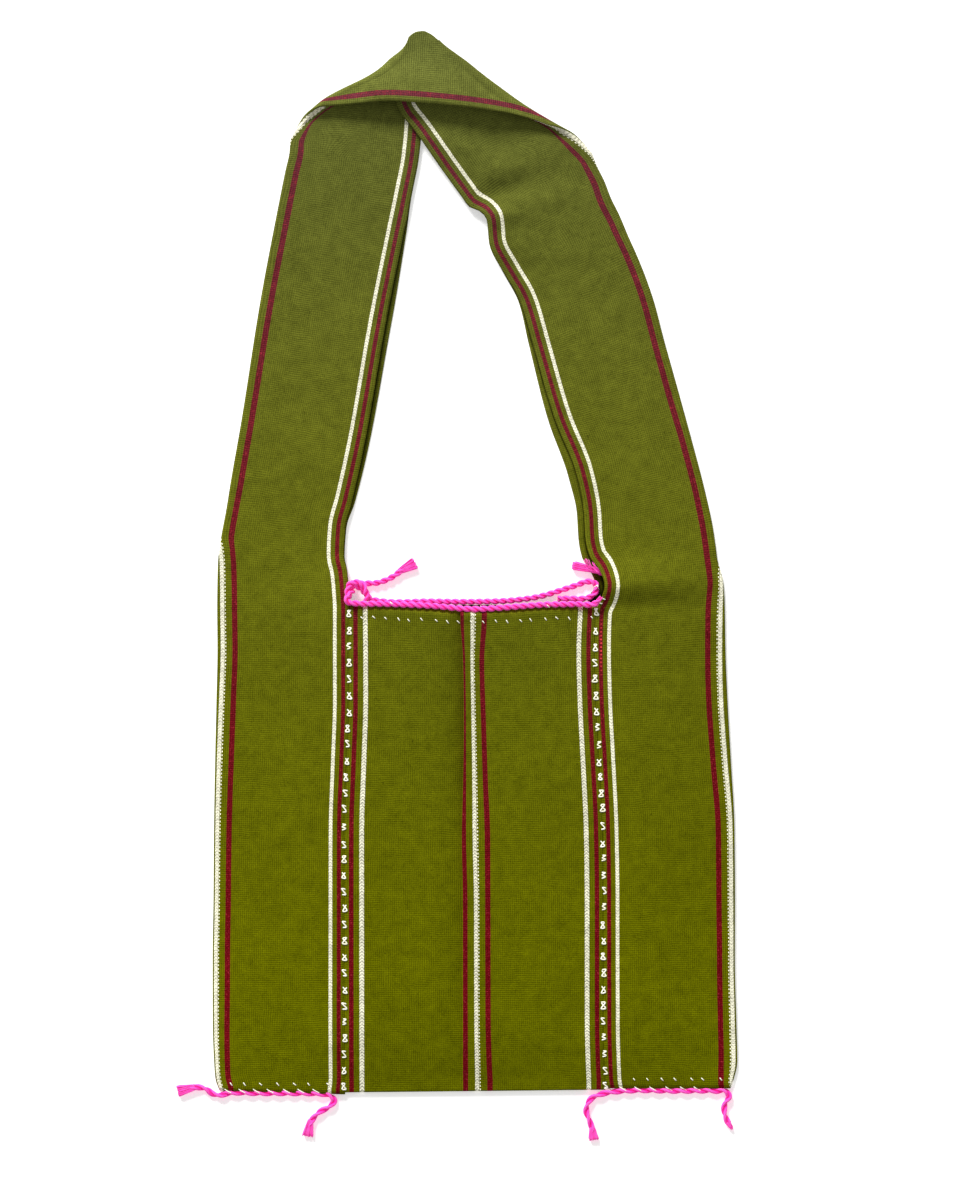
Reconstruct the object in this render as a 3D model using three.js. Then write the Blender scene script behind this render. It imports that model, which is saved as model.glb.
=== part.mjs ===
// Hand-woven cotton shoulder bag, lying flat on its back.
// A striped panel, folded at the bottom, is the front and back of the pocket. A second strip,
// folded lengthwise, is both gussets and the strap, and pink cords edge the mouth and the gussets.
// Millimetres: +X to the bag's right as seen, +Y up the bag, +Z up from the surface it lies on.

import * as THREE from 'three';

// Driving dimensions
const CLOTH = 1.2;
const SEAM_GAP = 0.3;
const FOLD_AIR = 0.8;
const HEM_DEPTH = 6;
const HEM_EXTRA = 0.8;
const CORD_DIAMETER = 3.8;
const CORD_SIDES = 8;

const FOLD_RADIUS = FOLD_AIR / 2 + CLOTH;

// The pocket from its mouth down: outer folds, seams, and the air between the front and back cloth
// along the seams (air) and what the middle of the front panel rises above that (bulge).
const BODY = [
  { y: -27, outerLeft: -155.0, seamLeft: -75.6, seamRight: 72.8, outerRight: 150.2, air: 6.0, bulge: 6.0 },
  { y: -52, outerLeft: -154.8, seamLeft: -75.6, seamRight: 71.9, outerRight: 150.6, air: 6.6, bulge: 4.0 },
  { y: -82, outerLeft: -155.4, seamLeft: -75.6, seamRight: 72.6, outerRight: 151.8, air: 7.2, bulge: 2.6 },
  { y: -118, outerLeft: -156.2, seamLeft: -76.8, seamRight: 74.5, outerRight: 153.8, air: 7.6, bulge: 2.0 },
  { y: -160, outerLeft: -156.9, seamLeft: -78.2, seamRight: 76.5, outerRight: 156.0, air: 7.8, bulge: 1.8 },
  { y: -202, outerLeft: -157.2, seamLeft: -78.3, seamRight: 77.1, outerRight: 156.3, air: 7.8, bulge: 1.6 },
  { y: -238, outerLeft: -157.7, seamLeft: -78.3, seamRight: 77.1, outerRight: 156.2, air: 7.4, bulge: 1.4 },
  { y: -278, outerLeft: -157.6, seamLeft: -78.3, seamRight: 77.2, outerRight: 157.2, air: 6.0, bulge: 1.0 },
  { y: -300, outerLeft: -156.8, seamLeft: -78.3, seamRight: 77.8, outerRight: 157.7, air: 3.4, bulge: 0.5 },
  { y: -310, outerLeft: -156.0, seamLeft: -78.3, seamRight: 78.3, outerRight: 155.6, air: 1.6, bulge: 0 },
];
const GUSSET_END_LEFT = { y: -316.2, outerLeft: -153.6, seamLeft: -78.3, air: 0.6 };
const GUSSET_END_RIGHT = { y: -314.7, outerRight: 153.6, seamRight: 78.6, air: 0.6 };

// The panel's mouth and bottom, and the sharp lengthwise crease left of its middle.
const MOUTH_SAG = 3.2;
const BACK_MOUTH = -25.8;
const PANEL_BOTTOM = { left: -318.2, right: -316.6 };
const CREASE = { x: -7.6, depth: 2.2, slope: 14, step: 2.4, fadesBelow: -250 };

// Shares of the panel's width at which its lengthwise lines lie, closest together round the crease.
const PANEL_LINES = [0, 0.1, 0.21, 0.32, 0.38, 0.41, 0.435, 0.455, 0.475, 0.54, 0.64, 0.76, 0.88, 1];

// The strap's legs, a row for each section across a leg: folded outer edge, front selvage, how far
// the back selvage stands out past it, air between the layers there, and the selvage's lift, which
// sets in over the shares of the width in LIFTED.
const LIFTED = { from: 0.45, to: 0.85 };
const LEFT_LEG = [
  { outer: [-154.5, 0.6], selvage: [-77.9, -13.2], back: 0, air: 4.0, lift: 0 },
  { outer: [-152.4, 16.8], selvage: [-79.5, 4.2], back: 0.3, air: 2.0, lift: 0 },
  { outer: [-149.4, 33.0], selvage: [-78.3, 21.6], back: 0.6, air: 1.2, lift: 0 },
  { outer: [-146.7, 49.8], selvage: [-74.5, 36.6], back: 1.8, air: 1.4, lift: 0 },
  { outer: [-140.4, 85.8], selvage: [-66.6, 72.6], back: 2.7, air: 1.8, lift: 0 },
  { outer: [-129.0, 157.8], selvage: [-54.0, 144.6], back: 3.3, air: 1.8, lift: 0 },
  { outer: [-118.8, 211.8], selvage: [-43.2, 198.6], back: 1.5, air: 1.4, lift: 0 },
  { outer: [-114.0, 235.8], selvage: [-38.1, 223.2], back: 0, air: 1.1, lift: 0 },
  { outer: [-111.6, 246.6], selvage: [-33.8, 246.6], back: 0, air: 0.9, lift: 0 },
  { outer: [-111.0, 253.6], selvage: [-32.2, 268.0], back: 0, air: 0.8, lift: 0 },
];
const RIGHT_LEG = [
  { outer: [72.0, 241.8], selvage: [-42.0, 282.6], back: 0, air: 0.8, lift: 3.8 },
  { outer: [74.1, 237.0], selvage: [-42.6, 273.0], back: 0, air: 0.8, lift: 3.8 },
  { outer: [77.7, 229.8], selvage: [-36.0, 259.8], back: 0, air: 0.8, lift: 3.8 },
  { outer: [81.6, 219.6], selvage: [-22.2, 238.8], back: 0, air: 0.9, lift: 1.5 },
  { outer: [86.4, 210.0], selvage: [-7.2, 219.6], back: 0, air: 1.2, lift: 0.8 },
  { outer: [91.2, 198.6], selvage: [6.0, 205.2], back: 0, air: 2.6, lift: 0.6 },
  { outer: [96.6, 186.6], selvage: [9.0, 192.0], back: 0, air: 3.2, lift: 0.4 },
  { outer: [102.0, 173.4], selvage: [17.4, 175.2], back: 0.3, air: 1.6, lift: 0 },
  { outer: [107.4, 157.8], selvage: [27.3, 157.8], back: 0.9, air: 1.4, lift: 0 },
  { outer: [113.4, 135.0], selvage: [35.4, 130.8], back: 2.4, air: 1.6, lift: 0 },
  { outer: [122.1, 103.8], selvage: [48.0, 87.6], back: 3.9, air: 1.8, lift: 0 },
  { outer: [130.8, 72.0], selvage: [61.2, 54.0], back: 5.0, air: 1.8, lift: 0 },
  { outer: [137.4, 46.8], selvage: [65.7, 31.8], back: 4.2, air: 1.6, lift: 0 },
  { outer: [143.1, 21.0], selvage: [67.1, 12.6], back: 4.2, air: 2.4, lift: 0 },
  { outer: [145.8, 1.8], selvage: [75.0, -3.9], back: 5.4, air: 6.5, lift: 0 },
  { outer: [149.1, -10.2], selvage: [78.0, -13.8], back: 2.7, air: 10.5, lift: 0 },
  { outer: [150.0, -20.4], selvage: [75.6, -22.2], back: 1.4, air: 7.5, lift: 0 },
];

// The crown: the strap is turned over forward along two slanted folds that meet at the peak, and
// hangs in front of both legs as a flap. Its lower edge is the strap's folded outer edge. level is
// the height of the middle between the flap's two layers there, which rises to FLAP_TOP within the
// share FLAP_RISE of the width, and bow is how far a fold curves in.
const FLAP_TOP = 9.3;
const FLAP_RISE = 0.8;
const LEFT_TURN = { from: [-108.6, 259.4], to: [-93.0, 273.4], peak: [-35.2, 313.8], level: 7.2, bow: 2.5 };
const RIGHT_TURN = { from: [70.2, 246.6], to: [43.8, 262.4], peak: [-22.8, 312.6], level: 7.0, bow: 1 };
const FLAP = [
  { outer: [-75.0, 274.6], peak: [-33.0, 314.6], level: 7.6 },
  { outer: [-54.0, 276.4], peak: [-31.0, 315.8], level: 8.4 },
  { outer: [-30.0, 275.0], peak: [-28.9, 316.2], level: 9.3 },
  { outer: [-3.0, 272.4], peak: [-26.8, 315.4], level: 8.4 },
  { outer: [21.0, 269.0], peak: [-24.8, 313.8], level: 7.6 },
];
const TURN_STEPS = 4;

// Cord routes: points of the centre line, closer together round the bends.
const CORDS = {
  mouth_cord_front: [
    [75.6, -20.6, 12.4], [73, -23.6, 11.8], [60, -24.6, 11.2], [42, -24.9, 12.2], [21, -26.4, 13.4],
    [0, -27.6, 13.6], [-27, -25.6, 13.2], [-57, -24.4, 11], [-71, -24.2, 10.4], [-75.6, -23.6, 10.7],
    [-77.3, -21.4, 10.6], [-74.8, -18.6, 8.2], [-73.6, -16.6, 5.2], [-73.6, -14.4, 2.9], [-71.8, -12.4, 2],
    [-68, -12.2, 2], [-58.2, -11.7, 2], [-49.8, -8.4, 2], [-43.8, -4.2, 2], [-39, -1.5, 2],
  ],
  mouth_cord_back: [
    [-74.4, -11.9, 7.4], [-71.1, -13.6, 7], [-67.4, -16.6, 4.8], [-65, -19, 2.6], [-63, -21.6, 2],
    [-58, -22.6, 2], [-27, -23, 2], [0, -23.2, 2], [24, -22.2, 2], [39, -20, 2], [51, -16.5, 2],
    [61.2, -13.2, 2], [67.8, -11.1, 2], [72, -12, 2.4], [73, -15.6, 2.6], [70.8, -19.4, 2.2],
    [66, -21.2, 2], [57, -21.4, 2], [50, -21.4, 2],
  ],
  mouth_cord_end: [
    [90.6, -16.2, 3.6], [85.8, -12, 3.6], [79.8, -7.8, 3.7], [75, -5.2, 3.8], [70.4, -4, 3.8],
    [64.4, -2.6, 2.7], [59.4, -1.5, 2],
  ],
  bottom_cord_left: [
    [-174.6, -316.5, 2], [-166.8, -315, 2], [-161.4, -316.2, 2], [-157.5, -319, 2], [-153.6, -319.8, 2],
    [-149, -318.8, 2], [-129, -318.6, 2], [-111, -318.6, 2], [-96, -318.9, 2], [-87, -320.2, 2],
    [-84.6, -322.8, 2], [-87.6, -326.7, 2], [-93.6, -330, 2], [-97.2, -333.6, 2], [-99.3, -337.8, 2],
    [-100.2, -342, 2],
  ],
  bottom_cord_right: [
    [71.1, -345, 2], [70.5, -340.8, 2], [69, -335.4, 2], [66.9, -330, 2], [67.5, -325.2, 2],
    [70.2, -321.6, 2], [75, -319.4, 2], [80.4, -318.2, 2], [90, -317.2, 2], [123, -317.2, 2],
    [144.6, -317.2, 2], [151.2, -317.7, 2], [152.6, -320.4, 2], [150.3, -324.6, 2], [149.7, -329.4, 2],
    [151.2, -334.5, 2], [153.9, -339.3, 2],
  ],
};

const { lerp, smoothstep } = THREE.MathUtils;
const UP = new THREE.Vector3(0, 0, 1);

// A cloth wall as a closed solid: two grids of points, the outer face and the inner face, joined
// along the four edges. Rows turned towards columns wind round the outward direction.
function sheetSolid(outer, inner) {
  const rows = outer.length;
  const columns = outer[0].length;
  const out = (r, c) => r * columns + c;
  const inn = (r, c) => (rows + r) * columns + c;
  const index = [];
  const quad = (a, b, c, d) => index.push(a, b, c, a, c, d);
  for (let r = 0; r < rows - 1; r++) {
    for (let c = 0; c < columns - 1; c++) {
      quad(out(r, c), out(r + 1, c), out(r + 1, c + 1), out(r, c + 1));
      quad(inn(r, c), inn(r, c + 1), inn(r + 1, c + 1), inn(r + 1, c));
    }
  }
  const lastRow = rows - 1;
  const lastColumn = columns - 1;
  for (let c = 0; c < lastColumn; c++) {
    quad(out(0, c), out(0, c + 1), inn(0, c + 1), inn(0, c));
    quad(out(lastRow, c + 1), out(lastRow, c), inn(lastRow, c), inn(lastRow, c + 1));
  }
  for (let r = 0; r < lastRow; r++) {
    quad(out(r + 1, 0), out(r, 0), inn(r, 0), inn(r + 1, 0));
    quad(out(r, lastColumn), out(r + 1, lastColumn), inn(r + 1, lastColumn), inn(r, lastColumn));
  }
  const points = [...outer.flat(), ...inner.flat()];
  const geometry = new THREE.BufferGeometry();
  geometry.setAttribute('position', new THREE.Float32BufferAttribute(points.flatMap((p) => p.toArray()), 3));
  geometry.setIndex(index);
  return geometry;
}

// One section of the folded strip, from the front selvage round the outer fold to the back selvage.
// turn is 0 where the front layer faces up, and half a turn where the strap is turned over.
const ACROSS = [1, 0.88, 0.74, 0.58, 0.42, 0.26, 0.12, 0];
const FOLD_ANGLES = [0.25, 0.5, 0.75].map((share) => share * Math.PI);

function stripSection(row) {
  const { outer, selvage, back = 0, air = FOLD_AIR, lift = 0, turn = 0, level, inside = 0, bow = 0 } = row;
  const edge = new THREE.Vector3(...outer, 0);
  const frontEnd = new THREE.Vector3(...selvage, 0);
  const chord = frontEnd.clone().sub(edge).normalize();
  const fold = edge.clone().addScaledVector(chord, FOLD_RADIUS);
  const backEnd = frontEnd.clone().addScaledVector(chord, back);
  const sideways = chord.clone().cross(UP).multiplyScalar(inside);
  const front = UP.clone().multiplyScalar(Math.cos(turn)).addScaledVector(sideways, Math.sin(turn));

  const airAt = (t) => lerp(FOLD_AIR, air, Math.sin(t * Math.PI / 2));
  const middleAt = (t, end) => {
    const lying = CLOTH + airAt(t) / 2 + lift * smoothstep(t, LIFTED.from, LIFTED.to);
    const turned = level === undefined ? lying : lerp(level, FLAP_TOP, smoothstep(t, 0, FLAP_RISE));
    const height = lerp(lying, turned, (1 - Math.cos(turn)) / 2);
    const swing = (turned - lying) / 2 * Math.sin(turn) - bow * Math.sin(t * Math.PI);
    return fold.clone().lerp(end, t).setZ(height).addScaledVector(sideways, -swing);
  };
  const section = { outer: [], inner: [] };
  const addLayer = (t, end, side) => {
    const middle = middleAt(t, end);
    section.outer.push(middle.clone().addScaledVector(front, side * (airAt(t) / 2 + CLOTH)));
    section.inner.push(middle.clone().addScaledVector(front, side * airAt(t) / 2));
  };
  for (const t of ACROSS) addLayer(t, frontEnd, 1);
  for (const angle of FOLD_ANGLES) {
    const away = front.clone().multiplyScalar(Math.cos(angle)).addScaledVector(chord, -Math.sin(angle));
    section.outer.push(middleAt(0, frontEnd).addScaledVector(away, FOLD_RADIUS));
    section.inner.push(middleAt(0, frontEnd).addScaledVector(away, FOLD_AIR / 2));
  }
  for (const t of [...ACROSS].reverse()) addLayer(t, backEnd, -1);
  return section;
}

// The sections of one slanted fold of the crown, from the leg up to the flap.
function turnSections({ from, to, peak, level, bow }, inside, lift) {
  const sections = [];
  for (let step = 0; step <= TURN_STEPS; step++) {
    const share = step / TURN_STEPS;
    const outer = [lerp(from[0], to[0], share), lerp(from[1], to[1], share)];
    sections.push({ outer, selvage: peak, turn: share * Math.PI, level, bow, inside, lift });
  }
  return sections;
}

function gussetStrap() {
  const half = SEAM_GAP / 2;
  const left = [...BODY, GUSSET_END_LEFT].reverse().map((row) => ({
    outer: [row.outerLeft, row.y], selvage: [row.seamLeft - half, row.y], air: row.air,
  }));
  const right = [...BODY, GUSSET_END_RIGHT].map((row) => ({
    outer: [row.outerRight, row.y], selvage: [row.seamRight + half, row.y], air: row.air,
  }));
  const flap = FLAP.map(({ outer, peak, level }) => ({ outer, selvage: peak, turn: Math.PI, level }));
  const crownLift = RIGHT_LEG[0].lift;
  const sections = [
    ...left,
    ...LEFT_LEG,
    ...turnSections(LEFT_TURN, 1, 0),
    ...flap,
    ...turnSections(RIGHT_TURN, -1, crownLift).reverse(),
    ...RIGHT_LEG,
    ...right,
  ].map(stripSection);
  return sheetSolid(sections.map((s) => s.outer), sections.map((s) => s.inner));
}

// The front panel's inner face above the surface: it bulges between the seams and dips at the crease.
function panelHeight(x, share, { air, bulge, y }) {
  const fade = smoothstep(y, PANEL_BOTTOM.left, CREASE.fadesBelow);
  const leftOfCrease = smoothstep(x, CREASE.x - CREASE.slope, CREASE.x);
  const rightOfCrease = 1 - smoothstep(x, CREASE.x, CREASE.x + CREASE.step);
  const dip = CREASE.depth * leftOfCrease * rightOfCrease * fade;
  return CLOTH + air + bulge * Math.sin(share * Math.PI) - dip;
}

// One lengthwise line of the panel's cloth, from the back mouth round the bottom to the front mouth.
function panelLine(share) {
  const half = SEAM_GAP / 2;
  const xAt = (row) => lerp(row.seamLeft + half, row.seamRight - half, share);
  const line = { outer: [], inner: [] };
  const add = (x, y, outerZ, innerZ) => {
    line.outer.push(new THREE.Vector3(x, y, outerZ));
    line.inner.push(new THREE.Vector3(x, y, innerZ));
  };
  const mouth = BODY[0];
  const lower = BODY.slice(1);
  add(xAt(mouth), BACK_MOUTH, 0, CLOTH);
  for (const row of lower) add(xAt(row), row.y, 0, CLOTH);

  const bottom = lerp(PANEL_BOTTOM.left, PANEL_BOTTOM.right, share) + FOLD_RADIUS;
  const bottomX = xAt(lower.at(-1));
  for (const angle of [0, ...FOLD_ANGLES, Math.PI]) {
    const outward = new THREE.Vector3(0, -Math.sin(angle), -Math.cos(angle));
    const centre = new THREE.Vector3(bottomX, bottom, FOLD_RADIUS);
    line.outer.push(centre.clone().addScaledVector(outward, FOLD_RADIUS));
    line.inner.push(centre.clone().addScaledVector(outward, FOLD_AIR / 2));
  }

  for (const row of [...lower].reverse()) {
    const z = panelHeight(xAt(row), share, row);
    add(xAt(row), row.y, z + CLOTH, z);
  }
  const mouthX = xAt(mouth);
  const mouthY = mouth.y - MOUTH_SAG * Math.sin(share * Math.PI) ** 2;
  const mouthZ = panelHeight(mouthX, share, mouth);
  const hemZ = lerp(mouthZ, panelHeight(mouthX, share, lower[0]), HEM_DEPTH / (mouth.y - lower[0].y));
  add(mouthX, mouthY - HEM_DEPTH - HEM_EXTRA, hemZ + CLOTH, hemZ);
  add(mouthX, mouthY - HEM_DEPTH, hemZ + CLOTH, hemZ - HEM_EXTRA);
  add(mouthX, mouthY, mouthZ + CLOTH, mouthZ - HEM_EXTRA);
  return line;
}

function pocketPanel() {
  const lines = PANEL_LINES.map(panelLine);
  return sheetSolid(lines.map((line) => line.outer), lines.map((line) => line.inner));
}

// A curve whose even steps fall on the points that it was made from.
class RouteCurve extends THREE.CatmullRomCurve3 {
  getUtoTmapping(u) {
    return u;
  }
}

function cord(route) {
  const extrudePath = new RouteCurve(route.map((point) => new THREE.Vector3(...point)));
  const corners = Array.from({ length: CORD_SIDES }, (_, side) => {
    const angle = side / CORD_SIDES * 2 * Math.PI;
    return new THREE.Vector2(Math.cos(angle), Math.sin(angle)).multiplyScalar(CORD_DIAMETER / 2);
  });
  const section = new THREE.Shape(corners);
  return new THREE.ExtrudeGeometry(section, { steps: route.length - 1, extrudePath });
}

const OLIVE_COTTON = { color: 0x5f6310, roughness: 0.95, metalness: 0 };
const PINK_COTTON = { color: 0xf94fbf, roughness: 0.85, metalness: 0 };

function piece(name, geometry, finish) {
  const mesh = new THREE.Mesh(geometry, new THREE.MeshStandardMaterial(finish));
  mesh.name = name;
  return mesh;
}

const bag = new THREE.Group();
bag.add(piece('pocket_panel', pocketPanel(), OLIVE_COTTON));
bag.add(piece('gusset_strap', gussetStrap(), OLIVE_COTTON));
for (const [name, route] of Object.entries(CORDS)) {
  bag.add(piece(name, cord(route), PINK_COTTON));
}

export default bag;
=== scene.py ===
import math
from collections import namedtuple

import bpy
import numpy as np
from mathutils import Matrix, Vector
from mathutils.bvhtree import BVHTree


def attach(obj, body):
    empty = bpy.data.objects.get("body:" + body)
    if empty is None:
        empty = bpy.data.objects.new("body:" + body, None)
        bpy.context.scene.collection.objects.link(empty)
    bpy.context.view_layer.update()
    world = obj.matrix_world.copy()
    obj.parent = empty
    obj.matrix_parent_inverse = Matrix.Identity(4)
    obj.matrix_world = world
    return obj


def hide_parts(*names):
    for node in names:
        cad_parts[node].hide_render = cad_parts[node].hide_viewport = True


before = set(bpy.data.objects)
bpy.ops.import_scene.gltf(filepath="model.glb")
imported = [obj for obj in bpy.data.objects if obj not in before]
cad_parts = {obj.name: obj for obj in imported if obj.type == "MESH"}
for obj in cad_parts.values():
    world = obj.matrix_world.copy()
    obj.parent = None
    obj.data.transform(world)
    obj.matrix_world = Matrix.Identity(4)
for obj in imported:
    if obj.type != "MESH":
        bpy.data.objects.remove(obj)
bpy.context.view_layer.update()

# Hand-woven cotton shoulder bag lying on its back. Lengths are metres, and MM turns millimetres into them.
# +X is to the bag's right as seen, +Y runs up the bag and +Z up from the floor.
MM = 0.001
BODY_NAME = "root"
scene = bpy.context.scene
chance = np.random.default_rng(21)

# Camera

PIXEL = 0.6 * MM
FRAME_PIXELS = (960, 1200)
FRAME_MIDDLE = (3.0 * MM, -22.2 * MM)
SHARP_LEVEL = 6 * MM
LENS = 120
SENSOR = 36


def add_camera():
    """A long lens straight above the bag, as far up as it takes to fill the frame's height."""
    lens = bpy.data.cameras.new("camera")
    lens.lens = LENS
    lens.sensor_width = SENSOR
    camera = bpy.data.objects.new("camera", lens)
    camera.location = (*FRAME_MIDDLE, SHARP_LEVEL + FRAME_PIXELS[1] * PIXEL * LENS / SENSOR)
    scene.collection.objects.link(camera)
    scene.camera = camera


# Curves and meshes

def lerp(a, b, share):
    return a + (b - a) * share


def smoothstep(x, low, high):
    share = np.clip((x - low) / (high - low), 0, 1)
    return share * share * (3 - 2 * share)


def hermite(knots, values, tangents, at):
    """Cubic curves through the rows of values, one for each column, read at the places at."""
    i = np.clip(np.searchsorted(knots, at, side="right") - 1, 0, len(knots) - 2)
    span = (knots[i + 1] - knots[i])[:, None]
    s = (at - knots[i])[:, None] / span
    ends = values[i] * (1 + 2 * s) * (1 - s) ** 2 + values[i + 1] * s * s * (3 - 2 * s)
    return ends + span * (tangents[i] * s * (1 - s) ** 2 - tangents[i + 1] * s * s * (1 - s))


def free_tangents(knots, values):
    """Tangents of a curve that swings freely through its points, as a cord does."""
    span = np.diff(knots)[:, None]
    slope = np.diff(values, axis=0) / span
    inner = (slope[:-1] * span[1:] + slope[1:] * span[:-1]) / (span[1:] + span[:-1])
    return np.vstack([slope[:1], inner, slope[-1:]])


def steady_tangents(knots, values):
    """Tangents of a curve that never swings past its points, as a sewn edge doesn't."""
    span = np.diff(knots)[:, None]
    slope = np.diff(values, axis=0) / span
    before, after = slope[:-1], slope[1:]
    same_way = before * after > 0
    safe_before, safe_after = np.where(same_way, before, 1), np.where(same_way, after, 1)
    weight_before, weight_after = span[:-1] + 2 * span[1:], 2 * span[:-1] + span[1:]
    mean = (weight_before + weight_after) / (weight_before / safe_before + weight_after / safe_after)
    return np.vstack([slope[:1], np.where(same_way, mean, 0), slope[-1:]])


def lengths_along(points):
    """Distance of each point from the first, along the line through them."""
    return np.concatenate([[0], np.cumsum(np.linalg.norm(np.diff(points, axis=0), axis=1))])


def smooth_line(points, step):
    """A free curve through the points, with a point about every step."""
    points = np.array(points, float)
    knots = lengths_along(points)
    at = np.linspace(0, knots[-1], max(3, math.ceil(knots[-1] / step) + 1))
    return hermite(knots, points, free_tangents(knots, points), at)


def unit(vectors):
    return vectors / np.linalg.norm(vectors, axis=-1, keepdims=True)


# Less than this counts as this much, so that nothing is divided by 0: squared lengths, and hidden cloth.
NO_LENGTH = 1e-12
NONE_HIDDEN = 1e-6
# A direction that no line here starts along, to take the first normal from.
SIDE_HINT = (0.31, 0.17, 0.93)
# The share of a thread's radius that is left at its ends.
THREAD_TIP = 0.45


def frames_along(line):
    """Tangents and two normals at each point of a line, turned as little as possible from one to the next."""
    tangents = unit(np.gradient(line, axis=0))
    normal = np.cross(tangents[0], SIDE_HINT)
    normals = np.empty_like(line)
    for i, tangent in enumerate(tangents):
        normal = normal - tangent * normal.dot(tangent)
        normal /= np.linalg.norm(normal)
        normals[i] = normal
    return tangents, normals, np.cross(tangents, normals)


class Yarns:
    """Tubes gathered into one mesh. Each point carries where it is round its tube and how far along."""

    def __init__(self):
        self.points, self.faces, self.marks = [], [], []
        self.count = 0

    def add_tube(self, line, across, upward, radii, sides, facing=None):
        """A closed tube round a line, with a ring of points in the plane of across and upward at each point.
        Where facing is given, all of the tube is marked as if it lay that far out, which sets its painted
        shade."""
        angles = np.arange(sides) / sides * 2 * math.pi
        cosine, sine = np.cos(angles)[None, :, None], np.sin(angles)[None, :, None]
        ring = cosine * across[:, None] + sine * upward[:, None]
        points = line[:, None] + ring * np.broadcast_to(radii, len(line))[:, None, None]
        along = np.repeat(lengths_along(line), sides)
        turn = np.tile(angles, len(line))
        outward = np.cos(turn) if facing is None else np.full(len(turn), facing)
        self.points.append(points.reshape(-1, 3))
        self.marks.append(np.stack([outward, np.sin(turn), along], 1))
        first = self.count
        for ring_start in range(first, first + (len(line) - 1) * sides, sides):
            for side in range(sides):
                after = (side + 1) % sides
                near, far = ring_start + side, ring_start + after
                self.faces.append((near, far, far + sides, near + sides))
        last = first + (len(line) - 1) * sides
        self.faces.append(tuple(range(first + sides - 1, first - 1, -1)))
        self.faces.append(tuple(range(last, last + sides)))
        self.count += len(line) * sides

    def add_thread(self, points, radius, step, sides, facing=None):
        """A thin round thread along a free curve through the points, with narrowed ends."""
        line = smooth_line(points, step)
        _, across, upward = frames_along(line)
        narrowing = np.ones(len(line))
        narrowing[[0, -1]] = THREAD_TIP
        self.add_tube(line, across, upward, radius * narrowing, sides, facing)

    def piece(self, name, finish):
        return add_piece(name, np.vstack(self.points), self.faces, finish, "yarn", np.vstack(self.marks))


def add_piece(name, points, faces, finish, mark_name, marks):
    """A smooth mesh piece that rides on the bag, with one vector at each point for its material to read."""
    mesh = bpy.data.meshes.new(name)
    mesh.from_pydata(np.asarray(points).tolist(), [], faces)
    marked = mesh.attributes.new(mark_name, "FLOAT_VECTOR", "POINT")
    marked.data.foreach_set("vector", np.asarray(marks, np.float32).ravel())
    mesh.shade_smooth()
    mesh.materials.append(finish)
    piece = bpy.data.objects.new(name, mesh)
    scene.collection.objects.link(piece)
    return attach(piece, BODY_NAME)


# Finishes

def linear(*srgb):
    """A shader colour from the red, green and blue shares that a screen shows."""
    return (*(c / 12.92 if c <= 0.04045 else ((c + 0.055) / 1.055) ** 2.4 for c in srgb), 1)


OLIVE = linear(0.368, 0.380, 0.008)
# The paler olive and maroon are painted towards the crown as the light's sheen: painted sheen.
OLIVE_PAINTED_SHEEN = linear(0.365, 0.385, 0.174)
MAROON = linear(0.400, 0.045, 0.075)
MAROON_PAINTED_SHEEN = linear(0.385, 0.180, 0.210)
MAROON_FLECK = linear(0.640, 0.190, 0.230)
RED_YARN = linear(0.940, 0.300, 0.320)
NATURAL_WHITE = linear(0.965, 0.955, 0.850)
# The cord is painted in a light and a deeper pink; the deeper one is painted shade between its plies and
# strands.
PINK = linear(1.000, 0.385, 0.805)
PINK_SHADED = linear(1.000, 0.100, 0.640)
THREAD_WHITE = linear(1.000, 1.000, 0.980)
FLOOR_WHITE = linear(0.985, 0.985, 0.985)

# Half a strip's width, and the warp's colours from its middle out to its selvage: how far each reaches, in
# millimetres. The panel's stripes beside its seams are wider than the gussets'.
HALF_STRIP = 77.7 * MM
STRAP_WARP = [
    (1.15, NATURAL_WHITE), (5.5, OLIVE), (9.1, MAROON), (67.5, OLIVE),
    (69.7, NATURAL_WHITE), (72.4, OLIVE), (74.9, MAROON), (77.7, OLIVE),
]
PANEL_WARP = [
    (1.15, NATURAL_WHITE), (5.5, OLIVE), (9.1, MAROON), (66.3, OLIVE),
    (69.1, NATURAL_WHITE), (72.3, OLIVE), (75.0, MAROON), (77.7, OLIVE),
]
# Which stripe of a warp is the white one near the selvage.
WHITE_MARGIN = 4
# Yarns are told apart by colour: the most red to green of an olive one, the least of a maroon one, and the
# least blue of a white one.
OLIVE_RED = 1.02
MAROON_RED = 4.0
WHITE_BLUE = 0.4

# The weave: how far apart its yarns are, how far they wander from a ruled line, and how often in a metre.
YARN_PITCH = 1.25 * MM
WANDER = 1.3 * YARN_PITCH
WANDER_ACROSS = 70.0
WANDER_ALONG = 90.0
# The edges of the stripes wander less and more often.
EDGE_WANDER = 0.35 * MM
EDGE_OFTEN = 900.0

# Painted sheen: the heights up the bag between which the cloth is painted paler, as the light's sheen towards
# the crown, and how slowly it starts to.
PAINTED_SHEEN_REACH = (-260 * MM, 310 * MM)
PAINTED_SHEEN_CURVE = 1.9
# Painted light and shade: how much lighter or darker the cloth is painted at heights up the bag, where the
# light falls more or less on it, in millimetres.
PAINTED_LIGHT_REACH = (-320 * MM, 320 * MM)
PAINTED_LIGHT_TONES = [
    (-320, 1.04), (-150, 0.965), (-45, 0.95), (25, 1.01),
    (130, 1.0), (200, 0.945), (252, 0.945), (278, 1.07),
]

# A yarn beside the white middle stripe shows as white dots: where it lies, and the dots' pitch and gaps.
DOTTED_YARN = (1.5 * MM, 2.1 * MM)
DOT_PITCH = 2.2 * MM
DOT_GAP = 0.55
# White stripes look plaited: the pitch of the yarns, how often they are broken, from where to where they
# turn into gaps, the tone of the yarns, and how dark the gaps are.
PLAIT_PITCH = 1.9 * MM
PLAIT_BREAKS = 700.0
PLAIT_TONE = (0.15, 0.48, 1.03)
STRAP_PLAIT_GAP = 0.60
PANEL_PLAIT_GAP = 0.40
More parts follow.
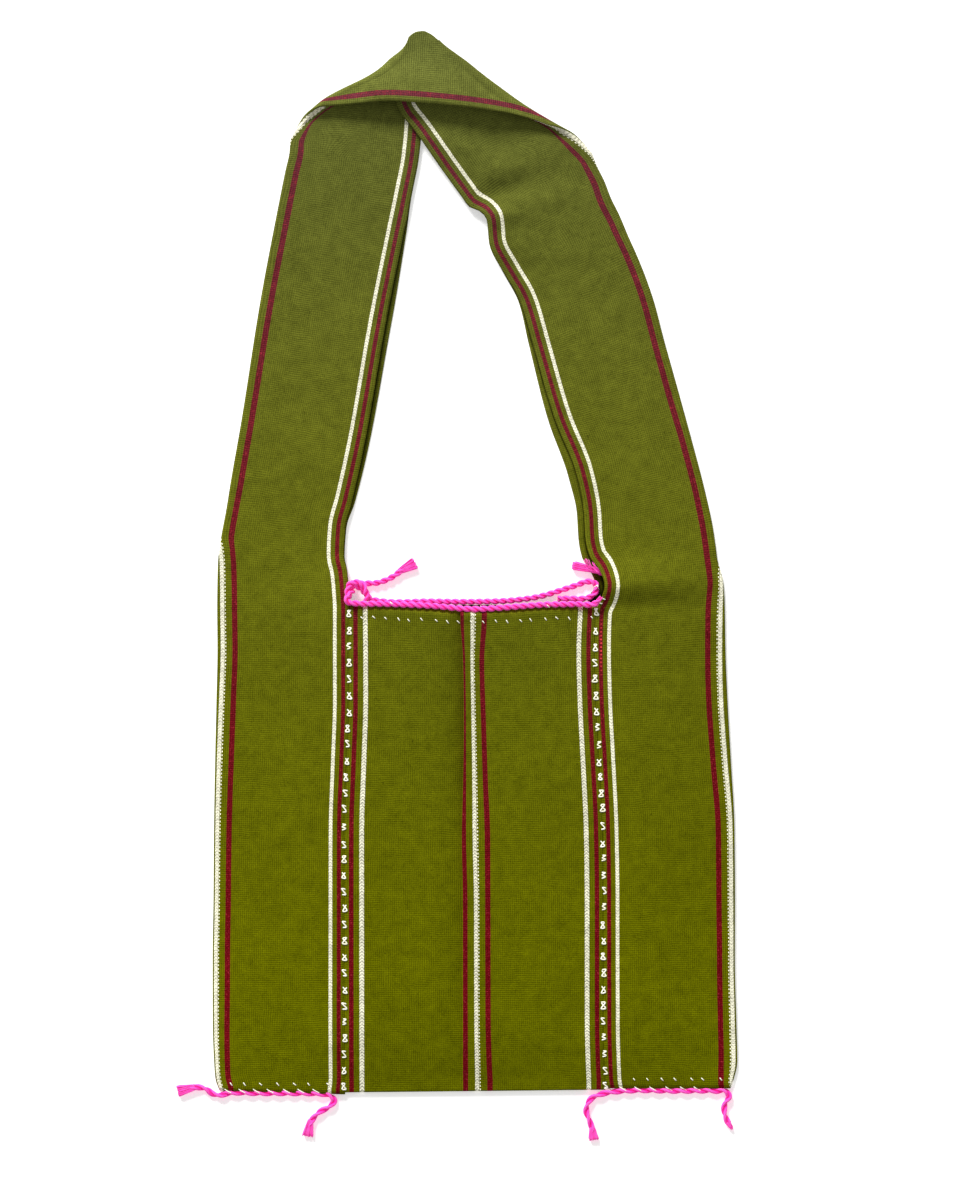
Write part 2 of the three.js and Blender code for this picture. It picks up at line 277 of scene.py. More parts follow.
# Red yarn shows in the narrow maroon stripe of the right gusset, near the mouth: the place's middle and
# reach, the least distance right of the bag's middle, the yarn's middle and half its width in the strip,
# and its dashes.
RED_PLACE = (82 * MM, -50 * MM, 6 * MM)
RED_REACH = (6 * MM, 21 * MM)
RED_FROM = 73 * MM
RED_STRIPE = (73.6 * MM, 0.5 * MM)
RED_PITCH = 2.5 * MM
RED_DASH = (-0.2, 0.6, 0.0, 0.85)

# Soft random patterns: how often in a metre, how detailed, and what range becomes what range of values.
PATTERNS = {
    "balance": (60.0, 1.0, 0.35, 0.65, 0.30, 0.75),
    "flecks": (1100.0, 1.0, 0.56, 0.72, 0.0, 0.6),
    "clouds": (24.0, 3.0, 0.3, 0.7, 0.96, 1.04),
    "specks": (900.0, 1.0, 0.68, 0.78, 1.0, 0.5),
    "floor": (9.0, 2.0, 0.3, 0.7, 0.985, 1.0),
}
# Spun cotton: the detail of its fuzz and of its slubs, and how often and how strong slubs are beside it.
FUZZ_DETAIL = 4.0
SLUB_DETAIL = 3.0
SLUB_SCALE = 0.13
SLUB_STRENGTH = 0.55
# Tones from ranges, all painted shade: of the ribs by their height, darker in the gaps between yarns, of the
# cloth by how deep inside it is, darker inside the folds, of a cord's strands by how far out they lie, darker
# between the plies, and by their height, darker in the grooves between strands.
RIB_TONE = (0.15, 0.85, 0.57, 1.25)
HOLLOW_TONE = (0.0, 1.0, 1.0, 0.04)
OUTWARD_TONE = (-0.5, 0.7, 0.0, 1.0)
STRAND_TONE = (0.0, 0.8, 0.62, 1.0)
# Fuzz of the cloth and of the yarns, and their relief: the fuzz's share of it, its strength and its depth.
CLOTH_FUZZ = {"Fineness": 1300.0, "Depth": 1.25}
CLOTH_RELIEF = (0.35, 0.4, 0.3 * MM)
YARN_FUZZ = {"Fineness": 2600.0, "Depth": 0.5}
YARN_RELIEF = (0.5, 0.5, 0.2 * MM)
CLOTH_ROUGHNESS = 0.95
YARN_ROUGHNESS = 0.75
YARN_SPECULAR = 0.2
FLOOR_ROUGHNESS = 0.9
FLOOR_GLOW = 0.40
SHEEN_ROUGHNESS = 0.5

# The numbers of a Mix node's colour sockets.
MIX_FIRST = 6
MIX_SECOND = 7
MIX_RESULT = 2


class Graph:
    """Adds nodes to a tree. Inputs are given by name or number, as values or as sockets to link."""

    def __init__(self, tree):
        self.tree = tree

    def node(self, kind, inputs=None, **settings):
        made = self.tree.nodes.new(kind)
        for name, value in settings.items():
            setattr(made, name, value)
        for key, value in (inputs or {}).items():
            if isinstance(value, bpy.types.NodeSocket):
                self.tree.links.new(value, made.inputs[key])
            else:
                made.inputs[key].default_value = value
        return made

    def math(self, operation, first, second=0.0, third=0.0):
        return self.node("ShaderNodeMath", {0: first, 1: second, 2: third}, operation=operation).outputs[0]

    def product(self, result, *others):
        for value in others:
            result = self.math("MULTIPLY", result, value)
        return result

    def wave(self, angle):
        """A wave between 0 and 1."""
        return self.math("MULTIPLY_ADD", self.math("SINE", angle), 0.5, 0.5)

    def mix(self, share, first, second):
        inputs = {0: share, MIX_FIRST: first, MIX_SECOND: second}
        return self.node("ShaderNodeMix", inputs, data_type="RGBA").outputs[MIX_RESULT]

    def spread(self, value, low, high, to_low, to_high):
        inputs = {"Value": value, "From Min": low, "From Max": high, "To Min": to_low, "To Max": to_high}
        return self.node("ShaderNodeMapRange", inputs).outputs[0]

    def noise(self, place, scale, detail=1.0):
        inputs = {"Vector": place, "Scale": scale, "Detail": detail}
        return self.node("ShaderNodeTexNoise", inputs).outputs[0]

    def pattern(self, place, name):
        """One of the soft random patterns."""
        scale, detail, *ranges = PATTERNS[name]
        return self.spread(self.noise(place, scale, detail), *ranges)

    def group(self, tree, inputs):
        return self.node("ShaderNodeGroup", inputs, node_tree=tree)


def new_group(name, inputs, outputs):
    """A node group with named float or vector inputs and float outputs, and its input and output nodes."""
    tree = bpy.data.node_groups.new(name, "ShaderNodeTree")
    for label, kind in inputs:
        tree.interface.new_socket(label, in_out="INPUT", socket_type=kind)
    for label in outputs:
        tree.interface.new_socket(label, in_out="OUTPUT", socket_type="NodeSocketFloat")
    graph = Graph(tree)
    return graph, graph.node("NodeGroupInput"), graph.node("NodeGroupOutput")


def cotton_fibre_group():
    """Uneven spun cotton: Shade varies round 1, and Height is the fuzz's relief."""
    inputs = [("Place", "NodeSocketVector"), ("Fineness", "NodeSocketFloat"), ("Depth", "NodeSocketFloat")]
    graph, given, result = new_group("Cotton fibre", inputs, ["Shade", "Height"])
    place, fineness, depth = (given.outputs[label] for label, _ in inputs)
    fine = graph.noise(place, fineness, FUZZ_DETAIL)
    coarse = graph.noise(place, graph.math("MULTIPLY", fineness, SLUB_SCALE), SLUB_DETAIL)
    slubs = graph.math("MULTIPLY", graph.math("SUBTRACT", coarse, 0.5), SLUB_STRENGTH)
    both = graph.math("ADD", graph.math("SUBTRACT", fine, 0.5), slubs)
    shade = graph.math("MULTIPLY_ADD", both, depth, 1.0)
    graph.tree.links.new(shade, result.inputs["Shade"])
    graph.tree.links.new(fine, result.inputs["Height"])
    return graph.tree


def plain_weave_group():
    """Relief of a plain weave: rounded warp and weft yarns with low gaps where they cross, which the cloth
    paints darker as painted shade.
    """
    inputs = [("Across", "NodeSocketFloat"), ("Along", "NodeSocketFloat"), ("Balance", "NodeSocketFloat")]
    graph, given, result = new_group("Plain weave", inputs, ["Height"])
    ribs = []
    for name in ("Across", "Along"):
        turns = graph.math("MULTIPLY", given.outputs[name], math.pi / YARN_PITCH)
        ribs.append(graph.math("ABSOLUTE", graph.math("SINE", turns)))
    difference = graph.math("SUBTRACT", ribs[1], ribs[0])
    height = graph.math("MULTIPLY_ADD", difference, given.outputs["Balance"], ribs[0])
    graph.tree.links.new(height, result.inputs["Height"])
    return graph.tree


def new_finish(name, roughness, specular=0.0, sheen=0.0):
    """A material with a Principled shader, whose even values are set here."""
    finish = bpy.data.materials.new(name)
    finish.use_nodes = True
    shader = finish.node_tree.nodes["Principled BSDF"]
    shader.inputs["Roughness"].default_value = roughness
    shader.inputs["Specular IOR Level"].default_value = specular
    shader.inputs["Sheen Weight"].default_value = sheen
    shader.inputs["Sheen Roughness"].default_value = SHEEN_ROUGHNESS
    return finish, Graph(finish.node_tree), shader


def add_glow(shader, colour, strength):
    shader.inputs["Emission Color"].default_value = colour
    shader.inputs["Emission Strength"].default_value = strength


def paint(graph, shader, colour, shade):
    """Gives the shader a colour that a shade round 1 makes darker or lighter."""
    shaded = graph.node("ShaderNodeVectorMath", {0: colour, "Scale": shade}, operation="SCALE")
    graph.tree.links.new(shaded.outputs[0], shader.inputs["Base Color"])


def add_relief(graph, shader, height, fuzz, fuzz_share, strength, depth):
    """Gives the shader bumps from a height and a share of the fuzz's."""
    relief = graph.math("MULTIPLY_ADD", fuzz.outputs["Height"], fuzz_share, height)
    bump = graph.node("ShaderNodeBump", {"Strength": strength, "Distance": depth, "Height": relief})
    graph.tree.links.new(bump.outputs[0], shader.inputs["Normal"])


def mark_of(graph, name):
    """The three numbers that the mesh carries at each point, as sockets."""
    mark = graph.node("ShaderNodeAttribute", attribute_name=name)
    return graph.node("ShaderNodeSeparateXYZ", {0: mark.outputs["Vector"]}).outputs


def ramp_of(graph, share, stops, interpolation):
    """The colour at a share of a row of stops, which are given as a place from 0 to 1 and a colour."""
    made = graph.node("ShaderNodeValToRGB", {0: share})
    made.color_ramp.interpolation = interpolation
    elements = made.color_ramp.elements
    for number, (place, colour) in enumerate(stops):
        stop = elements[number] if number < 2 else elements.new(place)
        stop.position = place
        stop.color = colour
    return made.outputs[0]


def stripes_of(graph, warp, from_middle):
    """The warp's colour at a distance from the strip's middle."""
    starts = [0.0] + [reach * MM / HALF_STRIP for reach, _ in warp]
    stops = [(start, colour) for start, (_, colour) in zip(starts, warp)]
    return ramp_of(graph, graph.math("DIVIDE", from_middle, HALF_STRIP), stops, "CONSTANT")


def painted_light_of(graph, height_up):
    """The cloth's painted light and shade at a height up the bag."""
    low, high = PAINTED_LIGHT_REACH
    stops = [((height * MM - low) / (high - low), (tone, tone, tone, 1)) for height, tone in PAINTED_LIGHT_TONES]
    return ramp_of(graph, graph.spread(height_up, low, high, 0.0, 1.0), stops, "LINEAR")


def striped_cotton(name, warp, plait_gap, fibre, weave):
    """A strip's cloth, with the stripes of its warp."""
    finish, graph, shader = new_finish(name, CLOTH_ROUGHNESS)
    place = graph.node("ShaderNodeTexCoord").outputs["Object"]
    right_of_middle, height_up, _ = graph.node("ShaderNodeSeparateXYZ", {0: place}).outputs
    across, along, depth = mark_of(graph, "weave")

    # Yarns wander a little, so stripes and ribs aren't ruled lines.
    def wander(value, often, size):
        drift = graph.math("SUBTRACT", graph.noise(place, often), 0.5)
        return graph.math("MULTIPLY_ADD", drift, size, value)

    woven = graph.group(weave, {
        "Across": wander(across, WANDER_ACROSS, WANDER),
        "Along": wander(along, WANDER_ALONG, WANDER),
        "Balance": graph.pattern(place, "balance"),
    })
    fuzz = graph.group(fibre, {"Place": place, **CLOTH_FUZZ})
    true_across = wander(across, EDGE_OFTEN, EDGE_WANDER)
    from_middle = graph.math("ABSOLUTE", true_across)
    colour = stripes_of(graph, warp, from_middle)
    red, green, blue = graph.node("ShaderNodeSeparateColor", {0: colour}).outputs
    olive = graph.math("LESS_THAN", red, graph.math("MULTIPLY", green, OLIVE_RED))
    maroon = graph.math("GREATER_THAN", red, graph.math("MULTIPLY", green, MAROON_RED))
    white = graph.math("GREATER_THAN", blue, WHITE_BLUE)

    # Painted sheen: the strap is painted paler than the pocket, as the light's sheen towards the crown.
    painted_sheen = graph.math("POWER", graph.spread(height_up, *PAINTED_SHEEN_REACH, 0.0, 1.0), PAINTED_SHEEN_CURVE)
    colour = graph.mix(graph.math("MULTIPLY", olive, painted_sheen), colour, OLIVE_PAINTED_SHEEN)
    colour = graph.mix(graph.math("MULTIPLY", maroon, painted_sheen), colour, MAROON_PAINTED_SHEEN)
    dots = graph.math("GREATER_THAN", graph.math("FRACT", graph.math("DIVIDE", along, DOT_PITCH)), DOT_GAP)
    low, high = DOTTED_YARN
    beside = graph.math("COMPARE", true_across, (low + high) / 2, (high - low) / 2)
    colour = graph.mix(graph.math("MULTIPLY", beside, dots), colour, NATURAL_WHITE)

    # Light flecks show in the maroon, and red yarn in one stretch of it.
    flecks = graph.math("MULTIPLY", maroon, graph.pattern(place, "flecks"))
    colour = graph.mix(flecks, colour, MAROON_FLECK)
    to_red = graph.node("ShaderNodeVectorMath", {0: place, 1: RED_PLACE}, operation="DISTANCE")
    dashes = graph.math("SINE", graph.math("MULTIPLY", along, 2 * math.pi / RED_PITCH))
    red_share = graph.product(
        graph.math("GREATER_THAN", right_of_middle, RED_FROM),
        graph.spread(dashes, *RED_DASH),
        graph.spread(to_red.outputs["Value"], *RED_REACH, 1, 0),
        graph.math("COMPARE", from_middle, *RED_STRIPE),
        maroon,
    )
    colour = graph.mix(red_share, colour, RED_YARN)

    # White stripes look plaited: their yarns cross the stripe at a slant from both sides.
    white_margin = (warp[WHITE_MARGIN - 1][0] + warp[WHITE_MARGIN][0]) / 2 * MM
    to_margin = graph.math("ABSOLUTE", graph.math("SUBTRACT", from_middle, white_margin))
    from_stripe = graph.math("MINIMUM", from_middle, to_margin)
    plait = graph.math("DIVIDE", graph.math("ADD", along, from_stripe), PLAIT_PITCH)
    crossing = graph.wave(graph.math("MULTIPLY", plait, 2 * math.pi))
    broken = graph.math("MULTIPLY", crossing, graph.noise(place, PLAIT_BREAKS))
    plait_tone = graph.spread(broken, *PLAIT_TONE, plait_gap)

    # Painted shade: the gaps between yarns are painted darker by the ribs' height, and the inner faces by how
    # deep inside they are.
    rib_tone = graph.spread(woven.outputs["Height"], *RIB_TONE)
    shade = graph.product(
        graph.spread(depth, *HOLLOW_TONE),
        graph.mix(white, rib_tone, plait_tone),
        graph.pattern(place, "clouds"),
        graph.pattern(place, "specks"),
        painted_light_of(graph, height_up),
        fuzz.outputs["Shade"],
    )
    paint(graph, shader, colour, shade)
    add_relief(graph, shader, woven.outputs["Height"], fuzz, *CLOTH_RELIEF)
    return finish


def spun_yarn(name, light, deep, fibre, strands, turns, sheen, painted_glow):
    """Yarn of several strands that wind round it, turns times in a metre. It glows a little as painted light.
    """
    finish, graph, shader = new_finish(name, YARN_ROUGHNESS, YARN_SPECULAR, sheen)
    # Painted light: the yarn glows a little in its deeper colour, which lifts its shaded parts.
    add_glow(shader, deep, painted_glow)
    place = graph.node("ShaderNodeTexCoord").outputs["Object"]
    outward, sideways, along = mark_of(graph, "yarn")
    round_yarn = graph.math("MULTIPLY", graph.math("ARCTAN2", sideways, outward), strands)
    strand = graph.wave(graph.math("MULTIPLY_ADD", along, -2 * math.pi * turns, round_yarn))
    fuzz = graph.group(fibre, {"Place": place, **YARN_FUZZ})
    # Painted shade: the yarn is painted in its deeper colour between the plies and in the grooves between
    # strands.
    tone = graph.math("MULTIPLY", graph.spread(outward, *OUTWARD_TONE), graph.spread(strand, *STRAND_TONE))
    paint(graph, shader, graph.mix(tone, deep, light), fuzz.outputs["Shade"])
    add_relief(graph, shader, strand, fuzz, *YARN_RELIEF)
    return finish


def plain_floor():
    finish, graph, shader = new_finish("plain_floor", FLOOR_ROUGHNESS)
    place = graph.node("ShaderNodeTexCoord").outputs["Object"]
    paint(graph, shader, FLOOR_WHITE[:3], graph.pattern(place, "floor"))
    add_glow(shader, FLOOR_WHITE, FLOOR_GLOW)
    return finish


# Pink cords: two plies twisted together, along the routes of the cords' centre lines

CORD_DIAMETER = 3.8 * MM
PLY_RADIUS = 1.0 * MM
PLY_FROM_CENTRE = 0.95 * MM
# How long one turn of the twist is.
CORD_LAY = {"mouth": 9.6 * MM, "bottom": 17.0 * MM}
PLY_STEP = 0.55 * MM
PLY_SIDES = 12

CORD_ROUTES = {
    "mouth_cord_front": [
        (0.0756, -0.0206, 0.0124), (0.0730, -0.0236, 0.0118), (0.0600, -0.0246, 0.0112),
        (0.0420, -0.0249, 0.0122), (0.0210, -0.0264, 0.0134), (0.0000, -0.0276, 0.0136),
        (-0.0270, -0.0256, 0.0132), (-0.0570, -0.0244, 0.0110), (-0.0710, -0.0242, 0.0104),
        (-0.0756, -0.0236, 0.0107), (-0.0773, -0.0214, 0.0106), (-0.0748, -0.0186, 0.0082),
        (-0.0736, -0.0166, 0.0052), (-0.0736, -0.0144, 0.0029), (-0.0718, -0.0124, 0.0020),
        (-0.0680, -0.0122, 0.0020), (-0.0582, -0.0117, 0.0020), (-0.0498, -0.0084, 0.0020),
        (-0.0438, -0.0042, 0.0020), (-0.0390, -0.0015, 0.0020),
    ],
    "mouth_cord_back": [
        (-0.0744, -0.0119, 0.0074), (-0.0711, -0.0136, 0.0070), (-0.0674, -0.0166, 0.0048),
        (-0.0650, -0.0190, 0.0026), (-0.0630, -0.0216, 0.0020), (-0.0580, -0.0226, 0.0020),
        (-0.0270, -0.0230, 0.0020), (0.0000, -0.0232, 0.0020), (0.0240, -0.0222, 0.0020),
        (0.0390, -0.0200, 0.0020), (0.0510, -0.0165, 0.0020), (0.0612, -0.0132, 0.0020),
        (0.0678, -0.0111, 0.0020), (0.0720, -0.0120, 0.0024), (0.0730, -0.0156, 0.0026),
        (0.0708, -0.0194, 0.0022), (0.0660, -0.0212, 0.0020), (0.0570, -0.0214, 0.0020),
        (0.0500, -0.0214, 0.0020),
    ],
    "mouth_cord_end": [
        (0.0906, -0.0162, 0.0036), (0.0858, -0.0120, 0.0036), (0.0798, -0.0078, 0.0037),
        (0.0750, -0.0052, 0.0038), (0.0704, -0.0040, 0.0038), (0.0644, -0.0026, 0.0027),
        (0.0594, -0.0015, 0.0020),
    ],
    "bottom_cord_left": [
        (-0.1746, -0.3165, 0.0020), (-0.1668, -0.3150, 0.0020), (-0.1614, -0.3162, 0.0020),
        (-0.1575, -0.3190, 0.0020), (-0.1536, -0.3198, 0.0020), (-0.1490, -0.3188, 0.0020),
        (-0.1290, -0.3186, 0.0020), (-0.1110, -0.3186, 0.0020), (-0.0960, -0.3189, 0.0020),
        (-0.0870, -0.3202, 0.0020), (-0.0846, -0.3228, 0.0020), (-0.0876, -0.3267, 0.0020),
        (-0.0936, -0.3300, 0.0020), (-0.0972, -0.3336, 0.0020), (-0.0993, -0.3378, 0.0020),
        (-0.1002, -0.3420, 0.0020),
    ],
    "bottom_cord_right": [
        (0.0711, -0.3450, 0.0020), (0.0705, -0.3408, 0.0020), (0.0690, -0.3354, 0.0020),
        (0.0669, -0.3300, 0.0020), (0.0675, -0.3252, 0.0020), (0.0702, -0.3216, 0.0020),
        (0.0750, -0.3194, 0.0020), (0.0804, -0.3182, 0.0020), (0.0900, -0.3172, 0.0020),
        (0.1230, -0.3172, 0.0020), (0.1446, -0.3172, 0.0020), (0.1512, -0.3177, 0.0020),
        (0.1526, -0.3204, 0.0020), (0.1503, -0.3246, 0.0020), (0.1497, -0.3294, 0.0020),
        (0.1512, -0.3345, 0.0020), (0.1539, -0.3393, 0.0020),
    ],
}

# How each cord's start and end are frayed, in millimetres: how far back the strands come loose, how far
# they reach past the route's end, the width they fan out to, how many there are, and the share of a ply's
# thickness left there.
Fray = namedtuple("Fray", "bite reach width count left")
FRAY = {
    "mouth_cord_front": [Fray(6.0, 0.6, 1.8, 10, 0.55), Fray(8.0, 3.6, 7.0, 100, 0.3)],
    "mouth_cord_back": [None, None],
    "mouth_cord_end": [None, Fray(17.0, 0.9, 4.2, 120, 0.32)],
    "bottom_cord_left": [Fray(7.0, 4.2, 6.4, 150, 0.32), Fray(7.5, 2.6, 6.2, 130, 0.32)],
    "bottom_cord_right": [Fray(6.0, 1.8, 5.4, 100, 0.3), Fray(4.0, 1.2, 1.8, 24, 0.5)],
}
# Loose strands: their radius and how uneven it is, how far out they are marked as lying, which sets their
# painted shade, how uneven their ends are, the shares of their length where they bend, how far in
# millimetres, how high they may lie, and how far from the cord's middle they start and how far above it they
# may end.
STRAND_RADIUS = 0.25 * MM
STRAND_UNEVEN = (0.8, 1.15)
STRAND_FACING = (0.1, 1.0)
RAGGED = (-1.2 * MM, 0.3 * MM)
STRAND_SHARES = (0.0, 0.35, 0.7, 1.0)
STRAND_BEND = 0.22
STRAND_HEIGHT = 0.7
FAN_START = CORD_DIAMETER * 0.38
FAN_LIFT = CORD_DIAMETER * 0.3
STRAND_STEP = 0.9 * MM
STRAND_SIDES = 5
# How many points before a cord's end its direction is taken from.
END_POINTS = 6

# The front cord's end is knotted into a ring with the back cord at the left of the mouth.
KNOT_ROUTE = [
    (-0.0652, -0.0226, 0.0068), (-0.0650, -0.0186, 0.0078), (-0.0664, -0.0146, 0.0084),
    (-0.0704, -0.0116, 0.0086), (-0.0748, -0.0126, 0.0082), (-0.0764, -0.0168, 0.0086),
    (-0.0752, -0.0208, 0.0100),
]
# Strands that stand off from the short cord end.
STRAY_STRANDS = [
    [(0.0708, -0.0040, 0.0048), (0.0686, -0.0008, 0.0060), (0.0668, 0.0026, 0.0056)],
    [(0.0696, -0.0038, 0.0050), (0.0670, -0.0010, 0.0058), (0.0654, 0.0020, 0.0050)],
    [(0.0690, -0.0036, 0.0046), (0.0674, -0.0004, 0.0062), (0.0662, 0.0028, 0.0060)],
    [(0.0718, -0.0042, 0.0050), (0.0694, -0.0010, 0.0060), (0.0682, 0.0022, 0.0058)],
    [(0.0744, -0.0052, 0.0052), (0.0716, -0.0020, 0.0062), (0.0704, 0.0006, 0.0062)],
    [(0.0762, -0.0056, 0.0056), (0.0734, -0.0030, 0.0066), (0.0704, -0.0004, 0.0064)],
    [(0.0756, -0.0052, 0.0054), (0.0726, -0.0024, 0.0064), (0.0712, 0.0002, 0.0066)],
]


def thinning(line, frays):
    """Share of a cord's thickness along its line, less where an end is frayed."""
    share = np.ones(len(line))
    along = lengths_along(line)
    for fray, from_end in zip(frays, (along, along[-1] - along)):
        if fray:
            share *= lerp(fray.left, 1, smoothstep(from_end, 0, fray.bite * MM))
    return share


def twisted_cord(name, route, frays, finish):
    """Both plies wind round the route like a right-handed screw. Returns the piece and its centre line."""
    line = smooth_line(route, PLY_STEP)
    _, across, upward = frames_along(line)
    thickness = thinning(line, frays)
    lay = CORD_LAY[name.split("_")[0]]
    yarns = Yarns()
    for ply in range(2):
        angle = lengths_along(line) / lay * 2 * math.pi + ply * math.pi
        outward = np.cos(angle)[:, None] * across + np.sin(angle)[:, None] * upward
        centre = line + outward * PLY_FROM_CENTRE * thickness[:, None]
        sideways = np.cross(unit(np.gradient(centre, axis=0)), outward)
        yarns.add_tube(centre, outward, sideways, PLY_RADIUS * thickness, PLY_SIDES)
    return yarns.piece(name, finish), line


def frayed_end(name, line, fray, finish):
    """Loose strands that fan out over the floor past the end of a cord's centre line."""
    bite, length, width = (size * MM for size in (fray.bite, fray.reach, fray.width))
    tip = line[-1]
    ahead = unit(tip - line[-END_POINTS])
    side = unit(np.cross((0, 0, 1), ahead))
    yarns = Yarns()
    for place in chance.permutation(np.linspace(-1, 1, fray.count)):
        reach = length + chance.uniform(*RAGGED)
        height = STRAND_HEIGHT * math.sin(chance.uniform(-0.5, 0.5) * math.pi)
        bends = chance.normal(0, STRAND_BEND, (3, 2))
        points = []
        for number, share in enumerate(STRAND_SHARES):
            bend = bends[min(number, len(bends) - 1)] * share * MM
            spread = lerp(FAN_START, width / 2, share) * place
            lift = lerp(FAN_START, FAN_LIFT, share) * height
            point = tip - ahead * bite * (1 - share) + ahead * reach * share + side * (spread + bend[0])
            point[2] = max(STRAND_RADIUS, point[2] + lift + bend[1])
            points.append(point)
        radius = STRAND_RADIUS * chance.uniform(*STRAND_UNEVEN)
        yarns.add_thread(points, radius, STRAND_STEP, STRAND_SIDES, chance.uniform(*STRAND_FACING))
    return yarns.piece(name, finish)


def stray_strands(name, finish):
    yarns = Yarns()
    for points in STRAY_STRANDS:
        yarns.add_thread(points, STRAND_RADIUS, STRAND_STEP, STRAND_SIDES, chance.uniform(*STRAND_FACING))
    return yarns.piece(name, finish)


def add_cords(finish):
    """All cords with their frayed ends. Returns the cords' pieces."""
    cords = []
    for name, route in CORD_ROUTES.items():
        piece, line = twisted_cord(name + "_twist", route, FRAY[name], finish)
        for end, fray, way in zip(("start", "end"), FRAY[name], (line[::-1], line)):
            if fray:
                frayed_end(f"{name}_fray_{end}", way, fray, finish)
        if name == "mouth_cord_front":
            twisted_cord(name + "_knot", KNOT_ROUTE, (None, None), finish)[0]
        if name == "mouth_cord_end":
            stray_strands(name + "_strays", finish)
        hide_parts(name)
        cords.append(piece)
    return cords


# Striped cloth: both strips as walls of even thickness, with an outer and an inner face

CLOTH = 1.2 * MM
SEAM_GAP = 0.5 * MM
FOLD_AIR = 0.8 * MM
FOLD_RADIUS = FOLD_AIR / 2 + CLOTH
EDGE_ROUND = 0.4 * CLOTH
ROW_STEP = 3.0 * MM


def table(names, rows):
    """A table in millimetres as a dictionary of its columns in metres."""
    return dict(zip(names.split(), np.array(rows, float).T * MM))


def in_metres(names, row):
    """One row in millimetres as a dictionary in metres."""
    return {name: value * MM for name, value in zip(names.split(), row)}


def columns_at(columns, y):
    """A table's columns, smoothed, at the heights y up the bag."""
    names = [name for name in columns if name != "y"]
    upward = np.argsort(columns["y"])
    knots = columns["y"][upward]
    values = np.stack([columns[name][upward] for name in names], axis=1)
    found = hermite(knots, values, steady_tangents(knots, values), np.clip(y, knots[0], knots[-1]))
    return {name: found[:, i][:, None] for i, name in enumerate(names)}


# The pocket from its mouth down: outer folds and seams, air between front and back cloth along the seams,
# the bulge of the front panel's middle, and how far the strip's middle lies in from each outer fold.
BODY = table("y outer_left seam_left seam_right outer_right air bulge roll_left roll_right", [
    (-27, -155.0, -75.6, 72.8, 150.2, 6.0, 6.0, 3.2, 2.7),
    (-52, -154.8, -75.6, 71.9, 150.6, 6.6, 4.0, 3.3, 3.4),
    (-82, -155.4, -75.6, 72.6, 151.8, 7.2, 2.6, 2.9, 4.0),
    (-118, -156.2, -76.8, 74.5, 153.8, 7.6, 2.0, 2.4, 3.5),
    (-160, -156.9, -78.2, 76.5, 156.0, 7.8, 1.8, 1.8, 2.5),
    (-202, -157.2, -78.3, 77.1, 156.3, 7.8, 1.6, 1.6, 2.4),
    (-238, -157.7, -78.3, 77.1, 156.2, 7.4, 1.4, 1.6, 1.9),
    (-278, -157.6, -78.3, 77.2, 157.2, 6.0, 1.0, 1.2, 2.3),
    (-300, -156.8, -78.3, 77.8, 157.7, 3.4, 0.5, 0.6, 2.4),
    (-310, -156.0, -78.3, 78.3, 155.6, 1.6, 0.0, 0.2, 0.0),
])
# The gussets' lower ends: the outer fold's corner, the seam's end, and the rest as above and below.
GUSSET_END_COLUMNS = "outer_x outer_y end_x end_y air roll edge tuck"
GUSSET_END_LEFT = (-153.6, -316.9, -78.3, -319.2, 0.6, -0.6, -1.6, -0.6)
GUSSET_END_RIGHT = (153.6, -315.6, 78.6, -315.6, 0.6, -2.0, 2.4, 0.0)

# Sections across the strap's legs: folded outer edge, front selvage, how far the back selvage stands out
# past it, air between the layers there, the selvage's lift, how far the strip's middle lies in from the
# fold, and the place in the strip that the fold's outermost edge shows, above 0 where the white middle
# stripe lies underneath.
LEG_COLUMNS = "outer_x outer_y end_x end_y back air lift roll edge"
LEFT_LEG = [
    (-154.5, 0.6, -76.5, -13.2, 0, 4.0, 0, 2.2, -2.4),
    (-153.5, 9.5, -77.4, -4.0, 0.1, 3.0, 0, 0.5, -0.2),
    (-152.4, 16.8, -79.2, 4.2, 0.3, 2.0, 0, -1.2, 2.3),
    (-149.4, 33.0, -78.3, 21.6, 0.6, 1.2, 0, -1.5, 2.4),
    (-146.7, 49.8, -74.5, 36.6, 1.8, 1.4, 0, -1.0, 2.4),
    (-140.4, 85.8, -66.6, 72.6, 2.7, 1.8, 0, -1.2, 2.4),
    (-129.0, 157.8, -54.0, 144.6, 3.3, 1.8, 0, -0.8, 2.4),
    (-118.8, 211.8, -43.2, 198.6, 1.5, 1.4, 0, -0.6, 2.4),
    (-114.0, 235.8, -38.1, 223.2, 0, 1.1, 0, -0.6, 2.4),
    (-111.6, 246.6, -33.8, 246.6, 0, 0.9, 0, -0.4, 2.2),
    (-111.0, 253.6, -32.2, 268.0, 0, 0.8, 0, -0.1, 1.5),
]
